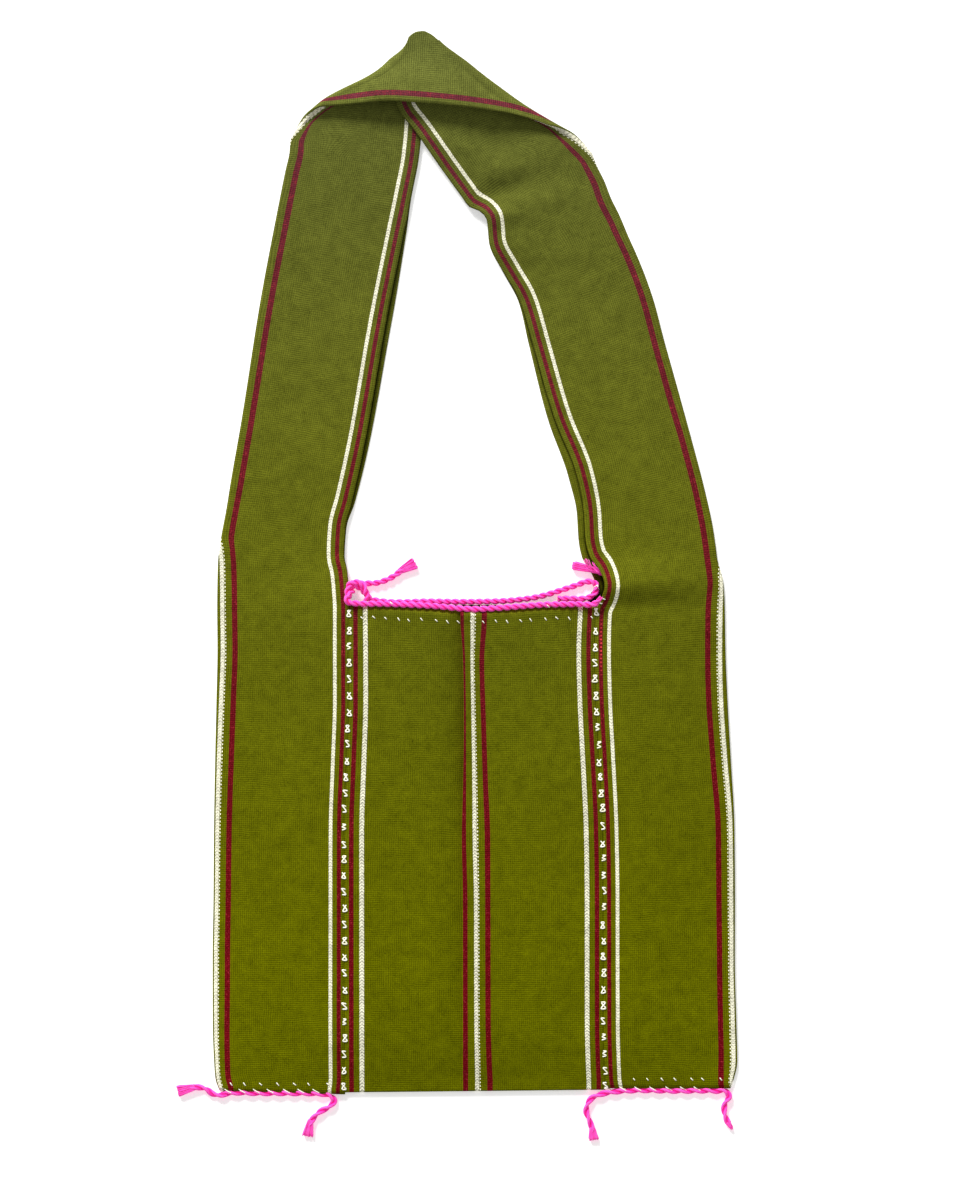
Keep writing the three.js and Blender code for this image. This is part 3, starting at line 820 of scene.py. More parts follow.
RIGHT_LEG = [
    (72.0, 241.8, -47.5, 281.0, 0, 0.8, 3.8, 0.3, 1.0),
    (74.1, 237.0, -45.6, 272.8, 0, 0.8, 3.8, -0.6, 1.8),
    (77.7, 229.8, -36.0, 259.8, 0, 0.8, 3.8, -1.1, 2.4),
    (81.6, 219.6, -21.2, 238.8, 0, 0.9, 1.5, -0.7, 2.4),
    (86.4, 210.0, -7.2, 219.6, 0, 1.2, 0.8, -0.5, 2.4),
    (88.6, 205.0, -3.0, 214.0, 0, 1.9, 0.7, -0.7, 2.4),
    (90.0, 201.6, 3.0, 211.6, 0, 2.4, 0.6, -0.8, 2.4),
    (91.2, 198.6, 7.4, 206.6, 0, 2.6, 0.6, -0.9, 2.4),
    (96.6, 186.6, 9.0, 192.0, 0, 3.2, 0.4, -1.3, 2.4),
    (102.0, 173.4, 17.4, 175.2, 0.3, 1.6, 0, -1.3, 2.4),
    (107.4, 157.8, 27.3, 157.8, 0.9, 1.4, 0, -1.2, 2.4),
    (113.4, 135.0, 35.4, 130.8, 2.4, 1.6, 0, -1.2, 2.4),
    (122.1, 103.8, 48.0, 87.6, 3.9, 1.8, 0, -1.1, 2.4),
    (130.8, 72.0, 61.2, 54.0, 5.0, 1.8, 0, -1.6, 2.6),
    (137.4, 46.8, 65.7, 31.8, 4.2, 1.6, 0, -1.6, 2.6),
    (143.1, 21.0, 67.1, 12.6, 4.2, 2.4, 0, -1.2, 2.4),
    (144.6, 11.0, 69.6, 3.4, 4.6, 3.2, 0, -1.2, 2.4),
    (145.8, 1.8, 75.0, -3.9, 5.4, 6.5, 0, -1.2, 2.4),
    (149.1, -10.2, 78.0, -13.8, 4.6, 10.5, 0, 0.4, -1.2),
    (150.0, -20.4, 75.6, -22.2, 3.4, 7.5, 0, 2.0, -2.2),
]
# Where across a leg its selvage lifts, and how far from the strip's middle a gusset's edge lies at least.
LIFTED = (0.45, 0.85)
GUSSET_EDGE = 2.2 * MM

# The crown: the strap is turned over forward along two slanted folds that meet at the peak, and hangs in
# front of both legs as a flap. level is the height midway between the flap's layers at its lower edge, and
# bow is how far a fold curves in. Pairs are for the left side, which is 1, and the right side, which is -1.
TURN_STEPS = 8
TURN_COLUMNS = "from_x from_y to_x to_y peak_x peak_y level bow lift"
LEFT_TURN = in_metres(TURN_COLUMNS, (-108.6, 259.4, -93.0, 273.4, -40.0, 314.4, 7.2, 8.4, 0.0))
RIGHT_TURN = in_metres(TURN_COLUMNS, (70.2, 246.6, 43.8, 262.4, -21.8, 312.9, 7.0, 4.9, 3.8))
FLAP_COLUMNS = "outer_x outer_y end_x end_y level bow"
FLAP_LEFT = [
    (-75.0, 274.6, -37.8, 316.4, 9.8, 5.4),
    (-54.0, 276.4, -34.8, 317.8, 13.0, 2.8),
    (-30.0, 275.0, -31.0, 318.2, 14.6, 0.4),
]
FLAP_RIGHT = [
    (-3.0, 272.4, -27.4, 317.0, 13.4, 0.8),
    (21.0, 269.0, -24.2, 315.0, 10.2, 2.4),
]
# The flap's height at the peak, and the share of the strap's width by which it is reached.
FLAP_TOP = 9.3 * MM
FLAP_RISE = 0.8
# How far the strip's middle lies in from the flap's edge and from the fold at each corner.
CROWN_ROLL = 2.5 * MM
CORNER_ROLL = {1: 1.2 * MM, -1: 0.5 * MM}
# How much the stripes are drawn together near the corners, on the legs and on the flap, and how near.
CORNER_STRETCH = {1: 3.0, -1: 1.9}
FLAP_STRETCH = {1: 1.2, -1: 1.2}
CORNER_REACH = 12 * MM
# How far the strap swings out where it turns: the share at its folded edge, the share of the width over
# which it opens to all of it, the stretch where it closes towards the peak and what is left there.
EDGE_SWING = {1: 0.55, -1: 0.9}
EDGE_OPENS = 0.2
PEAK_CLOSES = (0.75, 1.0)
PEAK_SWING = -0.42
# How far towards the peak a fold's bow is deepest: above 1 is nearer.
BOW_SKEW = {1: 1.8, -1: 1.0}
# The crown is plain green past this distance from the folded edge.
CROWN_GREEN = 65 * MM
# The turn up to which a section still shows the leg's weave, and the warp's direction on the flap.
EARLY_TURN = 0.75 * math.pi
FLAP_WARP = (0.999, -0.045)

# How the weave is laid over the strap: sections searched for the nearest edge and for the warp's direction,
# how far in the fold's edge shows, where across the strap the selvage's stripes take over, how far past the
# selvage the back layer's weave runs, and how much of the selvage is tucked in at a seam or where the
# layers gape.
NEAR_ROWS = 24
WARP_ROWS = 16
EDGE_REACH = 6 * MM
SELVAGE_SHARES = (0.4, 0.6)
BACK_MARGIN = 2 * MM
SEAM_TUCK = 0.8 * MM
GAPE_TUCK = 0.12
# How the painted shade between the layers grows lighter past the front selvage: from what share of the gap,
# how much and over what distance.
HOLLOW_START = 0.3
HOLLOW_LIGHT = 0.4
HOLLOW_REACH = (0.5 * MM, 2.5 * MM)
# Swells start at the fold and are whole from this share of the width on.
SWELL_SHARES = (0.0, 0.25)
# Places over the front layer from selvage to fold, round the fold, and over the back layer to its selvage.
FRONT_SHARES = np.linspace(1, 0, 32)
FOLD_ANGLES = np.linspace(0, math.pi, 11)[1:-1]
BACK_SHARES = np.concatenate([np.linspace(0, 0.86, 22), np.linspace(0.86, 1, 15)[1:]])
# Sections count as at least this far apart, and at least this share of their distance at the folded edge.
LEAST_SPAN = 2 * MM
OUTER_SPAN = 0.55


def strap_sections():
    """All sections of the strap's strip, from the left gusset's lower end round to the right one's."""
    names = [*LEG_COLUMNS.split(), "turn", "level", "bow", "side", "crown", "tuck"]
    rows = []

    def add(side, **values):
        row = {**dict.fromkeys(names, 0), "air": FOLD_AIR, "side": side, **values}
        rows.append([row[name] for name in names])

    def add_gusset_end(side, end):
        values = in_metres(GUSSET_END_COLUMNS, end)
        values["end_x"] -= side * SEAM_GAP / 2
        add(side, **values)

    def add_gusset(side, hand, order):
        for i in order:
            y = BODY["y"][i]
            seam = BODY["seam_" + hand][i] - side * SEAM_GAP / 2
            roll = BODY["roll_" + hand][i]
            add(side, outer_x=BODY["outer_" + hand][i], outer_y=y, end_x=seam, end_y=y,
                air=BODY["air"][i], roll=roll, edge=-max(roll, GUSSET_EDGE), tuck=SEAM_TUCK)

    def add_leg(side, leg):
        for row in leg:
            add(side, **in_metres(LEG_COLUMNS, row))

    def add_turn(side, fold, order):
        roll = CORNER_ROLL[side]
        for step in order:
            share = step / TURN_STEPS
            x, y = (lerp(fold["from_" + axis], fold["to_" + axis], share) for axis in "xy")
            add(side, outer_x=x, outer_y=y, end_x=fold["peak_x"], end_y=fold["peak_y"], turn=share * math.pi,
                level=fold["level"], bow=fold["bow"], lift=fold["lift"], roll=roll, edge=-roll, crown=1)

    def add_flap(side, flap):
        for row in flap:
            values = in_metres(FLAP_COLUMNS, row)
            add(side, turn=math.pi, roll=CROWN_ROLL, edge=-CROWN_ROLL, crown=1, **values)

    body_rows = range(len(BODY["y"]))
    add_gusset_end(1, GUSSET_END_LEFT)
    add_gusset(1, "left", reversed(body_rows))
    add_leg(1, LEFT_LEG)
    add_turn(1, LEFT_TURN, range(TURN_STEPS + 1))
    add_flap(1, FLAP_LEFT)
    add_flap(-1, FLAP_RIGHT)
    add_turn(-1, RIGHT_TURN, range(TURN_STEPS, -1, -1))
    add_leg(-1, RIGHT_LEG)
    add_gusset(-1, "right", body_rows)
    add_gusset_end(-1, GUSSET_END_RIGHT)
    return names, np.array(rows, float)


def fine_sections():
    """The strap's sections, smoothed and repeated about every row step."""
    names, rows = strap_sections()
    side = names.index("side")
    middles = (rows[:, 0:2] + rows[:, 2:4]) / 2
    spans = np.maximum(np.linalg.norm(np.diff(middles, axis=0), axis=1), LEAST_SPAN)
    spans = np.maximum(spans, OUTER_SPAN * np.linalg.norm(np.diff(rows[:, 0:2], axis=0), axis=1))
    knots = np.concatenate([[0], np.cumsum(spans)])
    at = []
    for start, stop in zip(knots, knots[1:]):
        at.append(np.linspace(start, stop, max(2, round((stop - start) / ROW_STEP)), endpoint=False))
    at = np.concatenate([*at, knots[-1:]])
    fine = hermite(knots, rows, steady_tangents(knots, rows), at)
    fine[:, side] = np.sign(fine[:, side])
    return {name: fine[:, i] for i, name in enumerate(names)}


# Creases and swells of the cloth that faces up, in millimetres: from, to, height (below 0 for a valley),
# half-width and the share of the height that is left at the far end.
CREASES = [
    ((-84, 4), (-140, -12), -0.7, 8.0, 0.1),
    ((-86, -16), (-128, -24), 0.5, 9.0, 0.2),
    ((14, 235), (56, 252), 2.6, 9.0, 0.3),
    ((11, 221), (50, 236), -1.9, 6.0, 0.1),
    ((10, 208), (60, 223), 3.4, 7.0, 0.1),
    ((40, 214), (80, 216), 0.6, 7.0, 0.3),
    ((80, -26), (140, -24), -0.8, 5.5, 0.2),
]
# Long low waves: height and length in millimetres, direction and start in radians.
WAVES = [
    (0.16, 61, 3.1, 0.4), (0.12, 37, 4.4, 1.9), (0.10, 83, 1.2, 2.7), (0.06, 23, 2.2, 0.9),
]


def swell(x, y):
    """How far the cloth's upper face stands above its even shape at a place."""
    height = np.zeros_like(x)
    for size, length, turn, phase in WAVES:
        forward = x * math.cos(turn) + y * math.sin(turn)
        height += size * MM * np.sin(forward / (length * MM) * 2 * math.pi + phase)
    for start, end, rise, half_width, left_over in CREASES:
        start, end = np.array(start) * MM, np.array(end) * MM
        run = end - start
        share = np.clip(((x - start[0]) * run[0] + (y - start[1]) * run[1]) / run.dot(run), 0, 1)
        gap = np.hypot(x - start[0] - run[0] * share, y - start[1] - run[1] * share)
        height += rise * MM * np.exp(-(gap / (half_width * MM)) ** 2) * lerp(1, left_over, share)
    return height


def cloth_piece(name, outer, inner, across, along, dark, finish):
    """A cloth wall with rounded selvages, from grids of its outer and inner points. across and along are each
    point's places in the strip's weave, and dark is how dark the inner face is painted there, as painted
    shade."""
    def beyond(column, before):
        middle = (outer[:, column] + inner[:, column]) / 2
        outward = unit(outer[:, column] + inner[:, column] - outer[:, before] - inner[:, before])
        return (middle + outward * EDGE_ROUND)[:, None]

    loop = np.concatenate([outer, beyond(-1, -2), inner[:, ::-1], beyond(0, 1)], axis=1)
    outer_weave = np.stack([across, along, np.zeros_like(across)], axis=2)
    inner_weave = np.stack([across, along, dark], axis=2)[:, ::-1]
    weave = np.concatenate([outer_weave, outer_weave[:, -1:], inner_weave, outer_weave[:, :1]], axis=1)
    rows, columns = loop.shape[:2]
    number = np.arange(rows * columns).reshape(rows, columns)
    after = np.roll(number, -1, axis=1)
    faces = np.stack([number[:-1], number[1:], after[1:], after[:-1]], axis=2).reshape(-1, 4).tolist()
    half = outer.shape[1]
    ends = [[c, c + 1, 2 * half - c - 1, 2 * half - c] for c in range(half - 1)]
    ends += [[half - 1, half, half + 1], [2 * half, 2 * half + 1, 0]]
    for row, way in ((0, 1), (-1, -1)):
        faces += [number[row, corners[::way]].tolist() for corners in ends]
    piece = add_piece(name, loop.reshape(-1, 3), faces, finish, "weave", weave.reshape(-1, 3))
    return piece


def plan_distance(points, line, counts):
    """Least distance in plan from each row of points to the stretches of line near it that count."""
    rows = np.arange(len(points))
    least = np.full(points.shape[:2], CROWN_GREEN)
    for offset in range(-NEAR_ROWS, NEAR_ROWS):
        start = np.clip(rows + offset, 0, len(line) - 2)
        run = (line[start + 1] - line[start])[:, None]
        gap = points[..., :2] - line[start][:, None]
        share = np.clip((gap * run).sum(axis=2) / np.maximum((run * run).sum(axis=2), NO_LENGTH), 0, 1)
        distance = np.linalg.norm(gap - run * share[..., None], axis=2)
        least = np.where(counts[start][:, None], np.minimum(least, distance), least)
    return least


def nearest_row(chosen):
    """For each section, the nearest of the chosen ones."""
    rows = np.arange(len(chosen))
    return rows[chosen][np.abs(rows[:, None] - rows[chosen][None]).argmin(axis=1)]


def past_corners(line, chord, early):
    """The legs' folded edges, carried on straight along the crown's slopes where the strap turns over."""
    nearest = nearest_row(early)
    beyond = np.abs(np.arange(len(line)) - nearest) * ROW_STEP
    return line[nearest] + chord[nearest] * beyond[:, None]


def narrowed(points, across, stretch, start):
    """The stripes past start, drawn together near the crown's two corners."""
    for side, turn in ((1, LEFT_TURN), (-1, RIGHT_TURN)):
        to_corner = np.hypot(points[..., 0] - turn["to_x"], points[..., 1] - turn["to_y"])
        steeper = stretch[side] * np.exp(-(to_corner / CORNER_REACH) ** 2)
        across = across + steeper * np.clip(across - start, 0, None)
    return across


def warp_way(middle, lying):
    """Direction of the warp at each section of the lying strap, evened out over the sections beside it."""
    way = unit(np.gradient(middle, axis=0))
    rows = np.arange(len(middle))
    even = np.empty_like(way)
    nearest = nearest_row(lying)
    for row in rows:
        near = lying & (np.abs(rows - nearest[row]) <= WARP_ROWS)
        even[row] = way[near].mean(axis=0)
    return unit(even)


def strap_faces():
    """Outer and inner face of the folded strip of the gussets and the strap, with places in its weave."""
    row = {name: values[:, None] for name, values in fine_sections().items()}
    outer = np.concatenate([row["outer_x"], row["outer_y"]], axis=1)
    end = np.concatenate([row["end_x"], row["end_y"]], axis=1)
    chord = unit(end - outer)
    length = np.linalg.norm(end - outer, axis=1, keepdims=True)
    fold = outer + chord * FOLD_RADIUS
    sideways = np.stack([chord[:, 1], -chord[:, 0]], axis=1) * row["side"]
    upward = np.concatenate([sideways * np.sin(row["turn"]), np.cos(row["turn"])], axis=1)
    skew, edge_swing = (np.where(row["side"] > 0, pair[1], pair[-1]) for pair in (BOW_SKEW, EDGE_SWING))

    def air_at(share):
        return lerp(FOLD_AIR, row["air"], np.sin(share * math.pi / 2))

    def middle_at(share, to):
        """Points midway between the two layers."""
        lying = CLOTH + air_at(share) / 2 + row["lift"] * smoothstep(share, *LIFTED)
        turned = lerp(row["level"], FLAP_TOP, smoothstep(share, 0, FLAP_RISE))
        height = lerp(lying, turned, (1 - np.cos(row["turn"])) / 2)
        closing = lerp(1, PEAK_SWING, smoothstep(share, *PEAK_CLOSES))
        swing = (turned - lying) / 2 * np.sin(row["turn"]) * closing
        swing = swing * lerp(edge_swing, 1, smoothstep(share, 0, EDGE_OPENS))
        swing = swing - row["bow"] * np.sin(math.pi * share ** skew)
        plan = lerp(fold[:, None], to[:, None], share[..., None]) - sideways[:, None] * swing[..., None]
        return np.concatenate([plan, height[..., None]], axis=2)

    def layer(shares, to, way):
        share = np.broadcast_to(shares, (len(outer), len(shares)))
        middle = middle_at(share, to)
        half_air = air_at(share)[..., None] / 2
        normal = way * upward[:, None]
        return middle + normal * (half_air + CLOTH), middle + normal * half_air

    front_out, front_in = layer(FRONT_SHARES, end, 1)
    back_out, back_in = layer(BACK_SHARES, end + chord * row["back"], -1)
    turning = np.cos(FOLD_ANGLES)[None, :, None] * upward[:, None]
    chord_3d = np.concatenate([chord, np.zeros_like(length)], axis=1)
    turning = turning - np.sin(FOLD_ANGLES)[None, :, None] * chord_3d[:, None]
    hinge = middle_at(np.zeros((len(outer), 1)), end)
    fold_out, fold_in = hinge + turning * FOLD_RADIUS, hinge + turning * FOLD_AIR / 2

    # The cloth that faces up swells and creases a little, less towards the fold.
    lying = np.clip(np.cos(row["turn"]), 0, 1)
    rise = swell(front_out[..., 0], front_out[..., 1]) * smoothstep(FRONT_SHARES, *SWELL_SHARES)[None] * lying
    front_out[..., 2] += rise
    front_in[..., 2] += rise

    # Places across the weave, by the distance from the nearest edge. The crown shows the strip's back half.
    early = row["turn"][:, 0] < EARLY_TURN
    all_rows = np.ones(len(outer), bool)
    folded_edge = hinge[:, 0, :2] - chord * FOLD_RADIUS
    to_fold = plan_distance(front_out, past_corners(folded_edge, chord, early), all_rows)
    rolled = (row["edge"] + row["roll"]) * (1 - smoothstep(to_fold, 0, EDGE_REACH))
    from_fold = to_fold - row["roll"] + rolled
    from_fold = narrowed(front_out, from_fold, CORNER_STRETCH, STRAP_WARP[0][0] * MM)
    tuck = np.maximum(row["tuck"], GAPE_TUCK * row["air"])
    from_selvage = HALF_STRIP - tuck - plan_distance(front_out, end, all_rows)
    near_selvage = smoothstep(FRONT_SHARES, *SELVAGE_SHARES)[None] * (1 - row["crown"])
    front_across = lerp(np.minimum(from_fold, CROWN_GREEN), from_selvage, near_selvage)
    on_flap = plan_distance(back_out, folded_edge, row["crown"][:, 0] > 0.5) + CROWN_ROLL
    on_flap = narrowed(back_out, on_flap, FLAP_STRETCH, STRAP_WARP[1][0] * MM)
    flap_across = -np.minimum(on_flap, CROWN_GREEN)
    back_start = row["edge"] - FOLD_RADIUS * math.pi / 2
    back_across = lerp(lerp(back_start, -HALF_STRIP - BACK_MARGIN, BACK_SHARES), flap_across, row["crown"])
    to_layer = np.where(np.cos(FOLD_ANGLES) > 0, front_across[:, -1:], back_across[:, :1])
    fold_across = lerp(row["edge"], to_layer, 1 - np.sin(FOLD_ANGLES))
    across = np.concatenate([front_across, fold_across, back_across], axis=1)

    # Places along the weave, in the warp's direction.
    outside = np.concatenate([front_out, fold_out, back_out], axis=1)
    middle = (outer + end) / 2
    way = warp_way(middle, row["crown"][:, 0] < 0.5)
    steps = (np.diff(middle, axis=0) * (way[1:] + way[:-1]) / 2).sum(axis=1)
    travelled = np.concatenate([[0], np.cumsum(steps)])[:, None]
    along = travelled + ((outside[..., :2] - middle[:, None]) * way[:, None]).sum(axis=2)
    along = np.where(early[:, None], along, (outside[..., :2] * FLAP_WARP).sum(axis=2))

    # Painted shade: the inner face is painted dark inside the fold, and past the front selvage as far as the
    # gap there is deep.
    inside = np.concatenate([front_in, fold_in, back_in], axis=1)
    past_selvage = np.clip((BACK_SHARES - 1)[None] * length + row["back"], 0, None)
    back_dark = 1 - smoothstep(past_selvage, HOLLOW_START * row["air"], row["air"])
    back_dark = back_dark * (1 - HOLLOW_LIGHT * smoothstep(past_selvage, *HOLLOW_REACH))
    dark = np.concatenate([np.ones_like(front_across), np.ones_like(fold_across), back_dark], axis=1)
    return outside, inside, across, along, dark


# The front panel's sharp lengthwise crease: where it runs, how much cloth it hides, how deep it is, and
# where the white middle stripe and the maroon stripe right of it lie. Left of it the cloth slopes down.
CREASE_LINE = table("y x hidden deep white maroon", [
    (-318, -7.7, 0.0, 0.0, 1.4, 9.4), (-300, -7.6, 0.2, 0.8, 1.1, 8.4), (-274, -7.4, 0.4, 1.3, 0.7, 7.7),
    (-202, -7.4, 0.6, 1.6, 0.5, 7.5), (-166, -8.0, 0.8, 1.4, -0.3, 7.4), (-130, -7.2, 1.6, 2.1, -0.6, 6.0),
    (-94, -6.7, 2.3, 2.6, -1.2, 4.8), (-58, -7.2, 2.2, 2.4, -1.8, 3.8), (-31, -8.8, 1.5, 1.5, -1.5, 5.4),
    (-20, -9.0, 1.2, 1.2, -1.5, 5.6),
])
# Places in the strip of the crease and of the maroon stripe, and the crease's form: how far off the slope
# starts, how wide and how deep the wall is, and how high and wide the ridge right of it.
CREASE_MARK = -9.3 * MM
MAROON_MARK = 7.3 * MM
CREASE_SLOPE = 19 * MM
CREASE_WALL = 0.4 * MM
CREASE_DEEP = 1.8
RIDGE = 0.25
RIDGE_REACH = 11 * MM
# The height up to which the panel's swells grow from its bottom.
SWELL_WHOLE = -280 * MM

# How far the front mouth sags in its middle and from how far down, and the height of the back mouth.
MOUTH_SAG = 3.2 * MM
SAG_REACH = 45 * MM
BACK_MOUTH = -25.2 * MM
# The back panel's right corner is drawn up to the strap: how far, where across, and from how far down.
CORNER_LIFT = 11 * MM
CORNER_ACROSS = (67 * MM, 71.5 * MM)
CORNER_DOWN = 20 * MM
# The height of the panel's bottom fold at its two sides.
PANEL_BOTTOM = {"left": -318.2 * MM, "right": -316.6 * MM}
# The front hem: how far up it reaches past the pocket's first row, where it steps down to the cloth, how
# much it stands out above and below, and how far and over what distance its edge rolls down.
HEM_REACH = 1.8 * MM
HEM_STEP = (5.0 * MM, 8.0 * MM)
HEM_RISE = 0.25 * MM
HEM_EXTRA = 0.8 * MM
HEM_DIP = 2.0 * MM
HEM_ROLL = 3.0 * MM
# How dark the front panel's inner face is painted, as painted shade; it shows only from low down in front
# of the mouth.
FRONT_INSIDE = 0.45
# Places across the panel's strip, closest together at the crease: from, to and how many, in millimetres.
PANEL_STRETCHES = [(-77.7, -30, 16), (-30, -12, 12), (-12, -3, 24), (-3, 30, 13), (30, 77.7, 16)]
PANEL_ACROSS = np.concatenate([np.linspace(*ends, endpoint=False) for ends in PANEL_STRETCHES]) * MM
PANEL_ACROSS = np.append(PANEL_ACROSS, HALF_STRIP)
BACK_STEP = 5 * MM
FRONT_STEP = 3 * MM
# How many of the front's last rows are redrawn closer together for the hem, and as how many.
HEM_ROWS = (4, 13)


def front_panel(y):
    """Places and heights of the front panel's inner face in rows at the heights y."""
    body = columns_at(BODY, y)
    crease_x, hidden, deep, white_x, maroon_x = columns_at(CREASE_LINE, y).values()
    left, right = body["seam_left"] + SEAM_GAP / 2, body["seam_right"] - SEAM_GAP / 2
    across = PANEL_ACROSS[None]
    far_side = CREASE_MARK + hidden
    wall_share = np.clip((across - CREASE_MARK) / np.maximum(hidden, NONE_HIDDEN), 0, 1)
    x_left = lerp(left, crease_x, (across + HALF_STRIP) / (CREASE_MARK + HALF_STRIP))
    x = np.where(across <= CREASE_MARK, x_left, crease_x + CREASE_WALL * wall_share)
    x_white = lerp(crease_x + CREASE_WALL, white_x, (across - far_side) / -far_side)
    x_maroon = lerp(white_x, maroon_x, across / MAROON_MARK)
    x_right = lerp(maroon_x, right, (across - MAROON_MARK) / (HALF_STRIP - MAROON_MARK))
    for mark, x_beyond in ((far_side, x_white), (0, x_maroon), (MAROON_MARK, x_right)):
        x = np.where(across >= mark, x_beyond, x)
    share = (across + HALF_STRIP) / (2 * HALF_STRIP)
    slope = np.clip((x - crease_x + CREASE_SLOPE) / CREASE_SLOPE, 0, 1) ** 2
    ridge = RIDGE * np.clip(1 - (x - crease_x) / RIDGE_REACH, 0, 1) ** 2 * wall_share
    sloping = np.where(across <= CREASE_MARK, slope, 1 - smoothstep(wall_share, 0, 1))
    dip = deep * (CREASE_DEEP * sloping - ridge)
    z = CLOTH + body["air"] + body["bulge"] * np.sin(share * math.pi) - dip
    return x, z + swell(x, y[:, None] + 0 * x) * smoothstep(y, BODY["y"][-1], SWELL_WHOLE)[:, None]


def panel_faces():
    """Outer and inner face of the panel's strip, from the back hem round the bottom up to the front hem."""
    share = (PANEL_ACROSS + HALF_STRIP) / (2 * HALF_STRIP)
    lowest = BODY["y"][-1]
    mouth = BODY["y"][0] + HEM_REACH
    flat = np.zeros((1, len(share)))

    back_y = np.linspace(BACK_MOUTH, lowest, round((BACK_MOUTH - lowest) / BACK_STEP))
    body = columns_at(BODY, back_y)
    back_x = lerp(body["seam_left"] + SEAM_GAP / 2, body["seam_right"] - SEAM_GAP / 2, share[None])
    drawn_up = CORNER_LIFT * smoothstep(back_y, BACK_MOUTH - CORNER_DOWN, BACK_MOUTH)[:, None]
    drawn_up = drawn_up * smoothstep(back_x, *CORNER_ACROSS)
    back = np.stack([back_x, back_y[:, None] + drawn_up, 0 * back_x], axis=2)

    bottom = lerp(PANEL_BOTTOM["left"], PANEL_BOTTOM["right"], share) + FOLD_RADIUS
    front_y = np.linspace(lowest, mouth, round((mouth - lowest) / FRONT_STEP))
    coarse, fine = HEM_ROWS
    front_y = np.concatenate([front_y[:-coarse], np.linspace(front_y[-coarse], mouth, fine)])
    front_x, front_z = front_panel(front_y)
    angles = np.concatenate([[0], FOLD_ANGLES, [math.pi]])[:, None]
    away = np.stack([0 * angles + flat, -np.sin(angles) + flat, -np.cos(angles) + flat], axis=2)
    low_x = lerp(back_x[-1:], front_x[:1], smoothstep(angles, 0, math.pi / 2))
    hinge = np.stack([low_x, bottom + 0 * low_x, FOLD_RADIUS + 0 * low_x], axis=2)

    lowered = smoothstep(front_y, mouth - SAG_REACH, mouth)[:, None]
    sag = MOUTH_SAG * np.sin(share * math.pi)[None] ** 2 * lowered
    to_mouth = (mouth - front_y)[:, None]
    hem = 1 - smoothstep(to_mouth, *HEM_STEP)
    front_z = front_z - HEM_DIP * (1 - smoothstep(to_mouth, 0, HEM_ROLL))
    front = np.stack([front_x, front_y[:, None] - sag, front_z], axis=2)
    front_out, front_in = front.copy(), front.copy()
    front_out[..., 2] += CLOTH + HEM_RISE * hem
    front_in[..., 2] -= HEM_EXTRA * hem

    thick = np.array([0, 0, CLOTH])
    outside = np.concatenate([back, hinge + away * FOLD_RADIUS, front_out])
    inside = np.concatenate([back + thick, hinge + away * FOLD_AIR / 2, front_in])
    middle_line = (outside[:, len(share) // 2] + inside[:, len(share) // 2]) / 2
    along = lengths_along(middle_line)[:, None] + 0 * share[None]
    across = PANEL_ACROSS[None] + np.zeros((len(outside), 1))
    # Painted shade: the inner faces are painted dark, the front panel's less.
    dark = np.ones_like(across)
    dark[-len(front_y):] = FRONT_INSIDE
    return outside, inside, across, along, dark


def add_cloth(panel_finish, strap_finish):
    panel = cloth_piece("pocket_panel_cloth", *(grid[:, ::-1] for grid in panel_faces()), panel_finish)
    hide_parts("pocket_panel")
    strap = cloth_piece("gusset_strap_cloth", *strap_faces(), strap_finish)
    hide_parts("gusset_strap")
    return panel, strap


# Stitches of white thread: their ends are sunk in the cloth, and the rest stands proud of it

THREAD_STEP = 0.35 * MM
THREAD_SIDES = 6
ABOVE_ALL = 0.1
DOWN = Vector((0, 0, -1))

# Cross stitches along the seams: how many, from where to where, half their width and height, how unevenly
# they are placed and drawn across and up the bag, the thread's radius, and how far it is sunk and proud.
SEAM_STITCHES = 30
SEAM_ENDS = (-30.5 * MM, -314.2 * MM)
SEAM_STITCH = (1.2 * MM, 1.8 * MM)
SEAM_SHIFT = (0.25 * MM, 0.5 * MM)
SEAM_UNEVEN = (0.12, 0.08)
SEAM_THREAD = 0.44 * MM
SEAM_LEVELS = (-0.15 * MM, 0.22 * MM)
# Shapes that the cross stitches take, in half-widths and half-heights.
STITCH_SHAPES = [
    [(-1, 1), (0.9, 1), (-0.95, -1), (1, -0.95), (-0.9, 0.9)],
    [(0.9, 0.8), (-0.9, 1), (0.9, -0.9), (-0.9, -1)],
    [(-0.9, 1), (0.9, -1), (-0.8, -1), (0.8, 0.9)],
    [(-0.8, 1), (0.9, 0.9), (-0.7, 0.1), (0.9, -0.5), (-0.9, -1)],
    [(0.8, 1), (-0.9, -1), (0.9, -1), (-0.8, 0.9), (0.6, 1)],
]

# Slanted stitches along the hems: half their width and height, how uneven they are, where along them the
# thread bends, and the thread as above.
HEM_STITCH = (0.8 * MM, 0.9 * MM)
HEM_UNEVEN = (0.75, 1.2)
HEM_SHARES = (-1, -0.5, 0.5, 1)
HEM_THREAD = 0.33 * MM
HEM_LEVELS = (-0.2 * MM, 0.2 * MM)
# The mouth's hem: from where to where, the pitch, the row's height and sag, and how unevenly they are
# placed.
MOUTH_HEM = (-68 * MM, 71 * MM)
HEM_PITCH = 7.3 * MM
MOUTH_HEM_HEIGHT = -32.6 * MM
MOUTH_HEM_SAG = 0.85 * MOUTH_SAG
MOUTH_HEM_SPAN = 150 * MM
MOUTH_HEM_SHIFT = (0.7 * MM, 0.25 * MM)
# The gussets' hems: from where to where, the pitch and the height up the bag, in millimetres.
GUSSET_HEMS = [(-147, -82, 9.6, -313.0), (95, 150, 8.7, -310.0)]
GUSSET_HEM_SHIFT = 0.8 * MM

# Bottom cords: the whip stitches' first and last place across the bag, and the cord's height up it, in
# millimetres.
WHIP_RUNS = [(-149, -88, -318.6), (80, 143, -317.2)]
